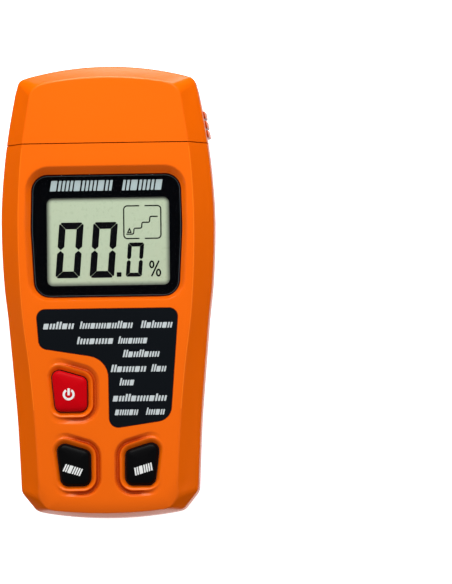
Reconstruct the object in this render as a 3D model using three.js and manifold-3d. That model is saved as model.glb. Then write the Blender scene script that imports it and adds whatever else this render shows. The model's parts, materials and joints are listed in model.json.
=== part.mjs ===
// A two-pin moisture meter for wood: a moulded two-part housing that lies on its back, a display window,
// three push buttons, two steel electrodes under a pull-off cap, and a battery behind a sliding door.
//
// Millimetres. +Z comes out of the face that the display is in, +Y points along the electrodes, and the
// origin is in the middle of the rectangle that the meter covers, on the surface that it lies on.
import * as THREE from "three";
import { mergeVertices } from "three/addons/utils/BufferGeometryUtils.js";
import Module from "manifold-3d";

const wasm = await Module();
wasm.setup();

// ---------------------------------------------------------------- driving dimensions
const HALF_LENGTH = 69; // along Y, with the cap on
const FACE_Z = 28; // front face
const GAP = 0.3; // between pieces that meet
const WALL = 2.2; // housing and cap
const PART_Z = 13.5; // where the front and back shells meet
const SEAM_Y = 45; // where the cap meets the housing
const BEVEL = { side: 5.2, top: 3.7, bottom: 2.6 }; // how far the front crease lies inside the outline
const BEVEL_FOOT_Z = 21.5; // where the bevel starts
const CREASE_Z = 27.5;
const INNER_FACE_Z = FACE_Z - WALL;

const COLLAR = { half: 27.3, top: 54, cornerY: 50, flatHalf: 19.5, low: 2.6, high: 25.4, bevel: 3.5 };
const COLLAR_WALL = 2;
const CAP_WALL = 1.7;
const PIN = { x: 11.1, z: 14, radius: 1.15, stud: 1.25, tipRadius: 0.3, foot: 46, cone: 59.5, tip: 64.2 };

const BOARD = { low: 19.8, high: 21.2 };
const LENS = { low: 24.8, high: 26.2 };
const LCD = { half: 20.9, bottom: 0.2, top: 32.9, low: 22.7, high: 24.3 };
const BUTTON_TOP = 28.9;
const BUTTON_FLANGE = { low: 24.6, high: 25.4, lip: 0.9 };
const SWITCH = { side: 6, low: 21.5, high: 23.4, plunger: 1.7 };

const BATTERY = { half: 13.1, bottom: -62.6, top: -17.4, low: 2.4, high: 19.2, corner: 2.5 };
const BAY = { half: 13.7, wall: 1.5, bottom: -63.9, top: -11, high: 19.3 };
const DOOR = { half: 15.4, tongue: 1, top: -7.6, low: 0.15, tongueLow: 1.2, high: 2.1 };
const RATING_LABEL = { half: 19, bottom: 1.5, top: 30.5 };

const CASE_SCREWS = [[22, 39], [-22, 39], [21, -52], [-21, -52]];
const BOARD_SCREWS = [[24, 31.5], [-24, 31.5], [24, -5.5], [-24, -5.5]];

// Half the housing's width along Y, and its slope, from the smooth curve through these places.
const WAIST = [
  [-61, 27.1], [-38, 28.15], [-12, 30.45], [8, 32.25], [20, 32.5], [32, 32.05], [45, 30.75], [66, 26.6],
];

// Corners of the flat outlines, each [x, y, radius], anticlockwise.
const WINDOW = [
  [-22.1, -1.9, 4.4], [22.1, -1.9, 4.4], [23.2, 19, 60], [22.8, 35.6, 5], [-22.8, 35.6, 5], [-23.2, 19, 60],
];
const LABEL = [
  [0.6, -42.4, 2.8], [19.3, -39.7, 4.6], [21.9, -5.7, 2.6],
  [-21.6, -5.7, 2.6], [-20.7, -17.5, 2.8], [0.4, -21, 6.8],
];
const POWER_BUTTON = [[-15.8, -36.9, 2], [-6.2, -36.9, 2.2], [-6.2, -26.8, 2.2], [-17.2, -23.5, 2.2]];
const MODE_BUTTON = [[-14.1, -59.4, 2.2], [-5.45, -59.4, 2.2], [-5.45, -49.2, 2.2], [-15.8, -46, 2.2]];
const HOLD_BUTTON = mirrored(MODE_BUTTON);

const ORANGE = { color: 0xf4721c, roughness: 0.45, metalness: 0 };
const BLACK = { color: 0x0a0b0d, roughness: 0.5, metalness: 0 };
const RED = { color: 0xc4000f, roughness: 0.4, metalness: 0 };
const STEEL = { color: 0xc9ccd0, roughness: 0.22, metalness: 1 };
const BRASS = { color: 0xc9a24a, roughness: 0.3, metalness: 1 };
const BOARD_GREEN = { color: 0x1d6b3a, roughness: 0.45, metalness: 0 };
const GLASS = { color: 0xbfc9b0, roughness: 0.15, metalness: 0 };
const CLEAR = { color: 0xe8eef0, roughness: 0.05, metalness: 0 };
const WHITE = { color: 0xe9e9e4, roughness: 0.5, metalness: 0 };
const GREY = { color: 0x8e9296, roughness: 0.4, metalness: 0.2 };

// ---------------------------------------------------------------- flat outlines
function mirrored(corners) {
  return corners.map(([x, y, r]) => [-x, y, r]).reverse();
}

// The arc that rounds one corner of a polygon, always as steps + 1 points.
function cornerArc(before, corner, after, radius, steps) {
  const into = before.clone().sub(corner).normalize();
  const out = after.clone().sub(corner).normalize();
  const half = Math.acos(THREE.MathUtils.clamp(into.dot(out), -1, 1)) / 2;
  const shortest = Math.min(before.distanceTo(corner), after.distanceTo(corner));
  const reach = Math.min(radius / Math.tan(half), 0.49 * shortest);
  const start = corner.clone().addScaledVector(into, reach);
  const end = corner.clone().addScaledVector(out, reach);
  const middle = corner.clone().addScaledVector(into.add(out).normalize(), reach / Math.cos(half));
  const turn = Math.PI - 2 * half;
  const spread = start.clone().sub(middle);
  const way = Math.sign(spread.cross(end.clone().sub(middle)));
  const points = [];
  for (let i = 0; i <= steps; i++) {
    points.push(spread.clone().rotateAround(new THREE.Vector2(), (way * turn * i) / steps).add(middle));
  }
  return points;
}

function roundedPolygon(corners, steps = 4) {
  const at = (i) => new THREE.Vector2(...corners[(i + corners.length) % corners.length]);
  return corners.flatMap(([, , radius], i) => cornerArc(at(i - 1), at(i), at(i + 1), radius, steps));
}

// The polygon with each side moved outwards by amount(nx, ny), where n is that side's outward normal.
function grown(corners, amount) {
  const by = typeof amount === "function" ? amount : () => amount;
  const n = corners.length;
  const side = (i) => {
    const [ax, ay] = corners[(i + n) % n];
    const [bx, by2] = corners[(i + 1 + n) % n];
    const length = Math.hypot(bx - ax, by2 - ay);
    const [nx, ny] = [(by2 - ay) / length, (ax - bx) / length];
    return { nx, ny, offset: nx * ax + ny * ay + by(nx, ny) };
  };
  return corners.map(([x, y, r], i) => {
    const a = side(i - 1);
    const b = side(i);
    const cross = a.nx * b.ny - a.ny * b.nx;
    const grownX = (a.offset * b.ny - b.offset * a.ny) / cross;
    const grownY = (a.nx * b.offset - b.nx * a.offset) / cross;
    const radius = Math.max(0.4, r + Math.sign(cross) * by(a.nx, a.ny));
    return [grownX, grownY, radius];
  });
}

// Cubic through the waist's places, each slope taken from its neighbours.
function halfWidth(y) {
  const n = WAIST.length;
  const slope = (i) => {
    const [a, b] = [WAIST[Math.max(0, i - 1)], WAIST[Math.min(n - 1, i + 1)]];
    return (b[1] - a[1]) / (b[0] - a[0]);
  };
  let i = 0;
  while (i < n - 2 && y > WAIST[i + 1][0]) i++;
  const [[y0, w0], [y1, w1]] = [WAIST[i], WAIST[i + 1]];
  const step = y1 - y0;
  const t = THREE.MathUtils.clamp((y - y0) / step, 0, 1);
  const [t2, t3] = [t * t, t * t * t];
  return (
    (2 * t3 - 3 * t2 + 1) * w0 + (t3 - 2 * t2 + t) * step * slope(i) +
    (3 * t2 - 2 * t3) * w1 + (t3 - t2) * step * slope(i + 1)
  );
}

// The meter seen from the front, drawn in by side, top and bottom, with as many points at every call.
function meterOutline({ side, top, bottom }) {
  const ARC = 5;
  const SIDE_STEPS = 16;
  const bottomY = -HALF_LENGTH + bottom;
  const topY = HALF_LENGTH - top;
  const bottomEnd = new THREE.Vector2(22.5 - 0.5 * side, bottomY + 2.1);
  const sideFoot = -61 + 0.6 * bottom;
  const sideHead = 64.8 - top;
  const sidePoint = (y) => new THREE.Vector2(halfWidth(y) - side, y);
  const topEnd = sidePoint(sideHead);
  const half = [];
  for (let i = 0; i < ARC; i++) {
    const u = i / ARC;
    half.push(new THREE.Vector2(bottomEnd.x * u, bottomY + 2.1 * u * u));
  }
  half.push(...cornerArc(half[ARC - 1], bottomEnd, sidePoint(sideFoot), 3, 2));
  half.push(...cornerArc(bottomEnd, sidePoint(sideFoot), sidePoint(sideFoot + 6), 5, 3));
  for (let i = 1; i < SIDE_STEPS; i++) {
    half.push(sidePoint(sideFoot + 3 + ((sideHead - sideFoot - 8) * i) / SIDE_STEPS));
  }
  const topArc = (u) => new THREE.Vector2(topEnd.x * u, topY - 4.2 * u * u);
  half.push(...cornerArc(sidePoint(sideHead - 6), topArc(1), topArc(0.8), 2.6, 3));
  for (let i = ARC - 1; i >= 0; i--) half.push(topArc((0.85 * i) / (ARC - 1)));
  const left = half.slice(1, -1).reverse().map((p) => new THREE.Vector2(-p.x, p.y));
  return [...half, ...left];
}

// The collar that the cap fits over, seen from the front.
function collarOutline(inset, foot, topInset = inset) {
  const half = COLLAR.half - inset;
  const top = COLLAR.top - topInset;
  const flat = COLLAR.flatHalf - 0.4 * inset;
  const shoulder = COLLAR.cornerY - 0.5 * inset;
  return roundedPolygon(
    [
      [-half, foot, 0.2], [half, foot, 0.2], [half, shoulder, 2],
      [flat, top, 0.4], [-flat, top, 0.4], [-half, shoulder, 2],
    ],
    3,
  );
}

// ---------------------------------------------------------------- solids
function solidOf(geometry) {
  const loose = geometry.index ? geometry.toNonIndexed() : geometry;
  const bare = new THREE.BufferGeometry().setAttribute("position", loose.getAttribute("position"));
  const merged = mergeVertices(bare, 1e-4);
  const positions = merged.attributes.position.array;
  const mesh = { numProp: 3, vertProperties: positions, triVerts: merged.index.array };
  return new wasm.Manifold(new wasm.Mesh(mesh));
}

function geometryOf(solid) {
  const { numProp, numVert, vertProperties, triVerts } = solid.getMesh();
  const positions = new Float32Array(numVert * 3);
  for (let i = 0; i < numVert; i++) {
    positions.set(vertProperties.subarray(i * numProp, i * numProp + 3), i * 3);
  }
  const geometry = new THREE.BufferGeometry();
  geometry.setAttribute("position", new THREE.BufferAttribute(positions, 3));
  geometry.setIndex(new THREE.BufferAttribute(new Uint32Array(triVerts), 1));
  return geometry;
}

// A solid skinned over level outlines, lowest first: [[z, points], ...], all with as many points.
function skinned(levels) {
  const count = levels[0][1].length;
  const positions = levels.flatMap(([z, points]) => points.flatMap((p) => [p.x, p.y, z]));
  const faces = [];
  for (let level = 0; level < levels.length - 1; level++) {
    for (let i = 0; i < count; i++) {
      const j = (i + 1) % count;
      const [a, b] = [level * count + i, level * count + j];
      faces.push(a, b, b + count, a, b + count, a + count);
    }
  }
  const last = (levels.length - 1) * count;
  for (const [a, b, c] of THREE.ShapeUtils.triangulateShape(levels[0][1], [])) faces.push(a, c, b);
  for (const [a, b, c] of THREE.ShapeUtils.triangulateShape(levels.at(-1)[1], [])) {
    faces.push(last + a, last + b, last + c);
  }
  const geometry = new THREE.BufferGeometry();
  geometry.setAttribute("position", new THREE.Float32BufferAttribute(positions, 3));
  geometry.setIndex(faces);
  return solidOf(geometry);
}

function prism(points, low, high) {
  const options = { depth: high - low, bevelEnabled: false };
  const geometry = new THREE.ExtrudeGeometry(new THREE.Shape(points), options);
  return solidOf(geometry.translate(0, 0, low));
}

function polygonPrism(corners, low, high, steps) {
  return prism(roundedPolygon(corners, steps), low, high);
}

function box([x0, x1], [y0, y1], [z0, z1]) {
  const geometry = new THREE.BoxGeometry(x1 - x0, y1 - y0, z1 - z0);
  return solidOf(geometry.translate((x0 + x1) / 2, (y0 + y1) / 2, (z0 + z1) / 2));
}

// A rod along Z, or along Y when axis is "y", from low to high.
function rod(x, other, radius, low, high, axis = "z", sides = 16) {
  const geometry = new THREE.CylinderGeometry(radius, radius, high - low, sides);
  if (axis === "z") geometry.rotateX(Math.PI / 2).translate(x, other, (low + high) / 2);
  else geometry.translate(x, (low + high) / 2, other);
  return solidOf(geometry);
}

// A turned piece whose profile is [[radius, y], ...] about an axis along Y.
function turned(profile, x, z, sides = 20) {
  const points = profile.map(([r, y]) => new THREE.Vector2(r, y));
  return solidOf(new THREE.LatheGeometry(points, sides).translate(x, 0, z));
}

function wire(points, radius) {
  const path = new THREE.CatmullRomCurve3(points.map((p) => new THREE.Vector3(...p)));
  const section = new THREE.Shape();
  section.absarc(0, 0, radius, 0, 2 * Math.PI, false);
  const shape = new THREE.Shape(section.getPoints(3).slice(0, -1));
  return solidOf(new THREE.ExtrudeGeometry(shape, { steps: 9, extrudePath: path, bevelEnabled: false }));
}

// ---------------------------------------------------------------- shapes that pieces share
const insets = (side, top = side, bottom = side) => ({ side, top, bottom });

const meterBody = skinned([
  [0, meterOutline(insets(5.6, 4.4, 3.6))],
  [0.7, meterOutline(insets(3.5, 2.5, 2))],
  [2.2, meterOutline(insets(2.1, 1.2, 1))],
  [5, meterOutline(insets(1.1, 0.5, 0.4))],
  [PART_Z, meterOutline(insets(0.1, 0.1, 0.1))],
  [BEVEL_FOOT_Z, meterOutline(insets(0))],
  [CREASE_Z, meterOutline(BEVEL)],
  [FACE_Z, meterOutline(insets(BEVEL.side + 1.2, BEVEL.top + 1, BEVEL.bottom + 1))],
]);

// The hollow that leaves the given wall, from low to high.
function hollow(wall, low, high) {
  return skinned([
    [low, meterOutline(insets(5.6 + 0.5 * wall, 4.4 + 0.5 * wall, 3.6 + 0.5 * wall))],
    [5, meterOutline(insets(1.1 + wall, 0.5 + wall, 0.4 + wall))],
    [PART_Z, meterOutline(insets(0.1 + wall))],
    [BEVEL_FOOT_Z - 0.5, meterOutline(insets(wall))],
    [high, meterOutline(insets(BEVEL.side + 0.6, BEVEL.top + 1.6, BEVEL.bottom + 1.6))],
  ]);
}

function collarSolid(wall, foot) {
  const { low, high, bevel } = COLLAR;
  const shallow = 0.93 * bevel;
  return skinned([
    [low + wall, collarOutline(wall + bevel, foot, wall + shallow)],
    [low + 6.4, collarOutline(wall, foot)],
    [high - 4, collarOutline(wall, foot)],
    [high - wall, collarOutline(wall + bevel, foot, wall + shallow)],
  ]);
}

const everywhere = [-100, 100];
const below = (z) => box(everywhere, everywhere, [-10, z]);
const above = (z) => box(everywhere, everywhere, [z, 60]);
const southOf = (y) => box(everywhere, [-100, y], [-10, 60]);
const northOf = (y) => box(everywhere, [y, 100], [-10, 60]);

const housingOutside = meterBody.intersect(southOf(SEAM_Y - GAP / 2)).add(collarSolid(0, SEAM_Y - 3));
const housingInside = hollow(WALL, WALL, INNER_FACE_Z)
  .intersect(southOf(SEAM_Y - GAP / 2 - WALL))
  .add(collarSolid(COLLAR_WALL, SEAM_Y - 6));
const pinHoles = [1, -1].map((s) => rod(s * PIN.x, PIN.z, 1.7, COLLAR.top - 5, COLLAR.top + 5, "y"));
const hollowHousing = housingOutside.subtract(housingInside);
const housing = pinHoles.reduce((left, hole) => left.subtract(hole), hollowHousing);

// ---------------------------------------------------------------- front shell
function frontShell() {
  let shell = housing.intersect(above(PART_Z + GAP / 2));
  const frame = polygonPrism(grown(WINDOW, 2.2), LCD.low + 0.2, INNER_FACE_Z + 0.5).intersect(meterBody);
  shell = shell.add(frame);
  for (const [x, y] of CASE_SCREWS) {
    shell = shell.add(rod(x, y, 3.2, PART_Z + GAP / 2, INNER_FACE_Z + 0.5).intersect(meterBody));
    shell = shell.subtract(rod(x, y, 1.55, PART_Z - 1, 21.8));
  }
  for (const [x, y] of BOARD_SCREWS) {
    shell = shell.add(rod(x, y, 2, BOARD.high + GAP, INNER_FACE_Z + 0.5).intersect(meterBody));
    shell = shell.subtract(rod(x, y, 1.2, BOARD.high - 1, 24.6));
  }
  return shell
    .subtract(windowOpening())
    .subtract(polygonPrism(grown(LABEL, GAP), FACE_Z - 0.75, FACE_Z + 1))
    .subtract(buttonOpening(POWER_BUTTON, 1))
    .subtract(buttonOpening(MODE_BUTTON, 1))
    .subtract(buttonOpening(HOLD_BUTTON, -1))
    .add(snapRib());
}

// A sloping surround, the seat of the lens, and the opening that the display looks through.
function windowOpening() {
  const surround = (share) => (nx, ny) => share * (ny > 0.7 ? 2.5 : ny < -0.7 ? 1 : 2.1) + GAP;
  const slope = skinned([
    [LENS.high - 0.1, roundedPolygon(grown(WINDOW, surround(0)))],
    [FACE_Z + 0.05, roundedPolygon(grown(WINDOW, surround(1)))],
    [FACE_Z + 1, roundedPolygon(grown(WINDOW, surround(1)))],
  ]);
  const seat = polygonPrism(grown(WINDOW, GAP), LCD.high + 0.05, LENS.high);
  const view = box([-LCD.half - GAP, LCD.half + GAP], [LCD.bottom - GAP, LCD.top + GAP], [20, LENS.high]);
  return slope.add(seat).add(view);
}

// A scooped dish that is deepest on its inner side, the rim around the button, and the button's hole.
function buttonOpening(corners, inner) {
  const dishReach = (nx) => (nx * inner > 0.5 ? 3.7 : nx * inner < -0.5 ? 0.6 : 3.2);
  const rim = polygonPrism(grown(corners, 1.5), FACE_Z - 3, FACE_Z + 1);
  const dish = polygonPrism(grown(corners, dishReach), FACE_Z - 0.7, FACE_Z + 1).subtract(rim);
  return dish.add(polygonPrism(grown(corners, GAP), 24, FACE_Z + 1));
}

// The bar on the collar that the cap clicks over.
function snapRib() {
  return box([-5.2, 5.2], [47.6, 49.7], [COLLAR.high - 1, COLLAR.high + 0.4]);
}

// ---------------------------------------------------------------- back shell
function backShell() {
  let shell = housing.intersect(below(PART_Z - GAP / 2));
  const bayOutside = BAY.half + BAY.wall;
  const bay = box([-bayOutside, bayOutside], [BAY.bottom - 1, BAY.top + BAY.wall], [1, BAY.high]);
  const pad = box([-18, 18], [BAY.bottom - 1, DOOR.top + 2], [1, 3.6]);
  shell = shell.add(bay).add(pad);
  for (const [x, y] of CASE_SCREWS) {
    shell = shell.add(rod(x, y, 3.7, 1.5, PART_Z - GAP / 2));
    shell = shell.subtract(rod(x, y, 2.8, -1, 4.2)).subtract(rod(x, y, 1.6, 0, PART_Z + 1));
  }
  const label = RATING_LABEL;
  return shell
    .subtract(box([-BAY.half, BAY.half], [BAY.bottom, BAY.top], [-1, BAY.high + 1]))
    .subtract(box([-8, 8], [BAY.top - 1, BAY.top + BAY.wall + 1], [17, BAY.high + 1]))
    .subtract(doorSlot())
    .subtract(box([-label.half - GAP, label.half + GAP], [label.bottom - GAP, label.top + GAP], [-1, 0.6]));
}

// The door's groove, open at the end of the housing.
function doorSlot() {
  const mouth = DOOR.half + GAP;
  const groove = mouth + DOOR.tongue;
  const lengthwise = [-HALF_LENGTH - 5, DOOR.top + GAP];
  return box([-mouth, mouth], lengthwise, [-1, 2.4]).add(
    box([-groove, groove], lengthwise, [DOOR.tongueLow - GAP, 2.4]),
  );
}

function batteryDoor() {
  const reach = DOOR.half + DOOR.tongue;
  const lengthwise = [-HALF_LENGTH - 5, DOOR.top];
  let door = box([-DOOR.half, DOOR.half], lengthwise, [DOOR.low, DOOR.high])
    .add(box([-reach, reach], lengthwise, [DOOR.tongueLow, DOOR.high]))
    .intersect(meterBody);
  for (let i = 0; i < 5; i++) {
    const y = -16 - 2.4 * i;
    door = door.subtract(box([-7, 7], [y - 0.6, y + 0.6], [-1, 0.75]));
  }
  return door;
}

// ---------------------------------------------------------------- cap
function pinCap() {
  const inside = hollow(CAP_WALL, CAP_WALL, 26.1);
  const snapGroove = box([-5.6, 5.6], [47.2, 50.1], [25, 26.5]);
  let cap = meterBody.subtract(inside).subtract(snapGroove).intersect(northOf(SEAM_Y + GAP / 2));
  const ribPitch = 2.8;
  for (const side of [1, -1]) {
    for (let i = 0; i < 4; i++) {
      const y = 47.7 + ribPitch * i;
      const x = halfWidth(y);
      const reach = [side * (x - 1.2), side * (x + 0.35)].sort((a, b) => a - b);
      cap = cap.add(box(reach, [y - 1, y + 1], [7, 20]));
    }
  }
  return cap;
}

// ---------------------------------------------------------------- electrodes
function electrodePin(side) {
  const { stud, radius, tipRadius, foot, cone, tip } = PIN;
  const profile = [
    [0, foot], [stud, foot], [stud, 56], [radius, 56.3], [radius, cone], [tipRadius, tip - 0.2], [0, tip],
  ];
  return turned(profile, side * PIN.x, PIN.z, 16);
}

function pinNut(side) {
  const acrossCorners = 2.7;
  const [low, high] = [COLLAR.top + GAP, COLLAR.top + GAP + 1.5];
  const dome = [[0, low], [acrossCorners, low], [acrossCorners, high - 0.6], [1.9, high], [0, high]];
  const crown = turned(dome, 0, 0, 24);
  return rod(0, 0, acrossCorners, low, high, "y", 6)
    .intersect(crown)
    .subtract(rod(0, 0, PIN.stud + GAP, low - 1, high + 1, "y"))
    .translate([side * PIN.x, 0, PIN.z]);
}

function pinSocket(side) {
  const hole = rod(side * PIN.x, PIN.z, PIN.stud + GAP, PIN.foot - GAP, 60, "y", 16);
  return rod(side * PIN.x, PIN.z, 2.6, 43.4, 51.6, "y", 16).subtract(hole);
}

function electrodeBlock() {
  const holes = [1, -1].map((side) => rod(side * PIN.x, PIN.z, 2.9, 40, 60, "y", 16));
  const block = box([-15.6, 15.6], [45.4, 51.4], [9, 19]);
  return holes.reduce((left, hole) => left.subtract(hole), block);
}

function pinLead(side) {
  const x = side * PIN.x;
  return wire([[x, 43, PIN.z], [x, 41, PIN.z + 0.4], [x, 37.5, 17], [x, 33.5, 18], [x, 32.5, 19]], 0.6);
}

// ---------------------------------------------------------------- display and board
function lensMask() {
  const clear = [[-18.6, 1.5, 1.5], [18.6, 1.5, 1.5], [18.6, 28.4, 1.5], [-18.6, 28.4, 1.5]];
  return polygonPrism(WINDOW, 24.4, 24.7).subtract(polygonPrism(clear, 24, 25));
}

function lcdFrame() {
  const outer = box([-21.6, 21.6], [-0.6, 33.7], [BOARD.high + GAP, LCD.low - 0.15]);
  return outer
    .subtract(box([-19.5, 19.5], [4, 31.4], [20, 24]))
    .subtract(box([-20, 20], [0.9, 3.4], [20, 24]));
}

function circuitBoard() {
  const outline = [
    [-17, -61, 1], [17, -61, 1], [17, -12, 1], [26.5, -9, 1.5],
    [26.5, 34.5, 1.5], [-26.5, 34.5, 1.5], [-26.5, -9, 1.5], [-17, -12, 1],
  ];
  const board = polygonPrism(outline, BOARD.low, BOARD.high, 2);
  return BOARD_SCREWS.reduce((left, [x, y]) => left.subtract(rod(x, y, 1.2, 15, 25, "z", 12)), board);
}

function tactileSwitch([x, y]) {
  const half = SWITCH.side / 2;
  const body = box([x - half, x + half], [y - half, y + half], [SWITCH.low, SWITCH.high]);
  return body.subtract(rod(x, y, SWITCH.plunger + GAP, 20, 25, "z", 16));
}

function switchPlunger([x, y]) {
  return rod(x, y, SWITCH.plunger, 22.3, BUTTON_FLANGE.low - 0.2, "z", 16);
}

function pushButton(corners) {
  const { low, high, lip } = BUTTON_FLANGE;
  const shoulder = BUTTON_TOP - 0.6;
  const crown = skinned([
    [high - 0.2, roundedPolygon(corners)],
    [shoulder, roundedPolygon(corners)],
    [BUTTON_TOP, roundedPolygon(grown(corners, -0.6))],
  ]);
  return crown.add(polygonPrism(grown(corners, lip), low, high));
}

// The middle of a button, where its switch stands.
function middleOf(corners) {
  const sum = corners.reduce(([sx, sy], [x, y]) => [sx + x, sy + y], [0, 0]);
  return [sum[0] / corners.length, sum[1] / corners.length];
}

// ---------------------------------------------------------------- battery and fasteners
function batteryCell() {
  const { half, bottom, top, low, high, corner } = BATTERY;
  const section = [[-half, low, corner], [half, low, corner], [half, high, corner], [-half, high, corner]];
  const geometry = new THREE.ExtrudeGeometry(new THREE.Shape(roundedPolygon(section, 4)), {
    depth: top - bottom,
    bevelEnabled: false,
  });
  return solidOf(geometry.rotateX(Math.PI / 2).translate(0, top, 0));
}

const TERMINAL_Z = (BATTERY.low + BATTERY.high) / 2;

function batteryTerminal(x, radius, sides) {
  return rod(x, TERMINAL_Z, radius, BATTERY.top + 0.2, BATTERY.top + 2.7, "y", sides);
}

function batteryLead(x) {
  return wire([[x, -13.1, 16.9], [x, -12.8, 18.1], [x, -10.2, 18.5], [x, -6.5, 18.4], [x, -5.5, 19]], 0.6);
}

function caseScrew([x, y]) {
  const head = rod(x, y, 2.5, 2.1, 4.1);
  const driveWidth = 0.35;
  const drive = box([x - driveWidth, x + driveWidth], [y - 1.5, y + 1.5], [0, 3]).add(
    box([x - 1.5, x + 1.5], [y - driveWidth, y + driveWidth], [0, 3]),
  );
  return head.add(rod(x, y, 1.25, 4, 20)).subtract(drive);
}

function boardScrew([x, y]) {
  const headTop = BOARD.low - 0.15;
  return rod(x, y, 2, headTop - 1.3, headTop, "z", 16).add(rod(x, y, 0.9, headTop - 0.5, 24, "z", 12));
}

// ---------------------------------------------------------------- the meter
const meter = new THREE.Group();

function place(name, solid, look) {
  const mesh = new THREE.Mesh(geometryOf(solid), new THREE.MeshStandardMaterial(look));
  mesh.name = name;
  meter.add(mesh);
}

place("front_shell", frontShell(), ORANGE);
place("back_shell", backShell(), ORANGE);
place("battery_door", batteryDoor(), ORANGE);
place("pin_cap", pinCap(), ORANGE);

for (const [name, side] of [["right", 1], ["left", -1]]) {
  place(`pin_${name}`, electrodePin(side), STEEL);
  place(`pin_nut_${name}`, pinNut(side), STEEL);
  place(`pin_socket_${name}`, pinSocket(side), BRASS);
  place(`pin_lead_${name}`, pinLead(side), WHITE);
}
place("electrode_block", electrodeBlock(), BLACK);

place("display_lens", polygonPrism(WINDOW, LENS.low, LENS.high), CLEAR);
place("lens_mask", lensMask(), BLACK);
place("lcd_panel", box([-LCD.half, LCD.half], [LCD.bottom, LCD.top], [LCD.low, LCD.high]), GLASS);
place("lcd_frame", lcdFrame(), WHITE);
place("lcd_connector_strip", box([-19, 19], [1.2, 3.1], [BOARD.high + GAP, LCD.low - GAP]), GREY);

place("circuit_board", circuitBoard(), BOARD_GREEN);
place("controller_chip", box([-6, 6], [8, 20], [BOARD.low - 1.6, BOARD.low - GAP]), BLACK);
place("quartz_crystal", box([11, 15.5], [7, 18], [BOARD.low - 3.8, BOARD.low - GAP]), STEEL);
place("calibration_trimmer", box([-19, -12.5], [9, 15.5], [BOARD.low - 4.5, BOARD.low - GAP]), WHITE);
place("filter_capacitor", rod(20, 24, 3.1, BOARD.low - 8, BOARD.low - GAP), GREY);
const soundHole = rod(-17, 24, 1, 0, BOARD.low - 3);
place("buzzer", rod(-17, 24, 5.5, BOARD.low - 6, BOARD.low - GAP).subtract(soundHole), BLACK);

const buttons = [["power", POWER_BUTTON, RED], ["mode", MODE_BUTTON, BLACK], ["hold", HOLD_BUTTON, BLACK]];
for (const [name, corners, look] of buttons) {
  place(`${name}_button`, pushButton(corners), look);
  place(`${name}_switch`, tactileSwitch(middleOf(corners)), GREY);
  place(`${name}_switch_plunger`, switchPlunger(middleOf(corners)), BLACK);
}

place("species_label", polygonPrism(LABEL, FACE_Z - 0.45, FACE_Z - 0.1), BLACK);
const rating = RATING_LABEL;
place("rating_label", box([-rating.half, rating.half], [rating.bottom, rating.top], [0.1, 0.3]), WHITE);

place("battery", batteryCell(), BLACK);
place("battery_terminal_positive", batteryTerminal(6.35, 2.9, 20), STEEL);
place("battery_terminal_negative", batteryTerminal(-6.35, 4, 6), STEEL);
place("battery_snap", box([-12.8, 12.8], [-14.3, -12], [4.8, 16.6]), BLACK);
place("battery_lead_positive", batteryLead(4), RED);
place("battery_lead_negative", batteryLead(-4), BLACK);
place("battery_pad", box([-12, 12], [BAY.bottom + 0.2, BATTERY.bottom - 0.2], [4, 18]), GREY);

CASE_SCREWS.forEach((spot, i) => place(`case_screw_${i + 1}`, caseScrew(spot), STEEL));
BOARD_SCREWS.forEach((spot, i) => place(`board_screw_${i + 1}`, boardScrew(spot), STEEL));

export default meter;
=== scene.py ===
"""Looks for the moisture meter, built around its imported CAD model.

Shapes are worked out in millimetres in the model's frame (+Z out of the display face, +Y along the
electrodes) and scaled to metres when a mesh is made. The housing's skins are strips lofted from the parting
line up to the front face, or down to the back, and a flat patch inside them that carries the recesses.
"""

import json
import math

import bmesh
import bpy
import numpy as np
from mathutils import Matrix, Vector
from mathutils.geometry import delaunay_2d_cdt


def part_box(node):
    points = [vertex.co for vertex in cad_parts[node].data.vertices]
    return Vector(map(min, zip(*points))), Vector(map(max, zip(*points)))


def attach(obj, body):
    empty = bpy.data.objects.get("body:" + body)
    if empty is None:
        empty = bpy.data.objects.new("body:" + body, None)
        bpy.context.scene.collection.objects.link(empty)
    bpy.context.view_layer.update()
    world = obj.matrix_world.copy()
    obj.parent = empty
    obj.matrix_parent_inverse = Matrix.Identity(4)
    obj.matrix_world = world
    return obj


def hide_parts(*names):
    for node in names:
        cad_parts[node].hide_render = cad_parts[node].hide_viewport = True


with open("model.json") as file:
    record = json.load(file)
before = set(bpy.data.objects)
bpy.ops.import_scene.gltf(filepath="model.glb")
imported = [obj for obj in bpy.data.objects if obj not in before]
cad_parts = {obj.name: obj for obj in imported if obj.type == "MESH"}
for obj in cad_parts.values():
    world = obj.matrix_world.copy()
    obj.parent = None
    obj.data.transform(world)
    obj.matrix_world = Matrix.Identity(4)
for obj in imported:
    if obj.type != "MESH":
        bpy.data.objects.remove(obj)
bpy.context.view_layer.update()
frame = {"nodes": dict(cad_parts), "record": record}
MM = 0.001


def cad_box(node):
    """A CAD node's lowest and highest corner, in millimetres."""
    low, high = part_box(node)
    return np.array(low) / MM, np.array(high) / MM


# ---------------------------------------------------------------- driving dimensions
FACE_Z = cad_box("front_shell")[1][2]
HALF_LENGTH = cad_box("pin_cap")[1][1]
SEAM_GAP = 0.3
CAP_EDGE = cad_box("pin_cap")[0][1]
HOUSING_EDGE = CAP_EDGE - SEAM_GAP
FRONT_PART_Z = cad_box("front_shell")[0][2]
BACK_PART_Z = FRONT_PART_Z - SEAM_GAP
BODY_WALL = 1.2
CAP_WALL = 1.5
BACK_WALL = 1.5
COLLAR_TOP = cad_box("front_shell")[1][1]

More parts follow.
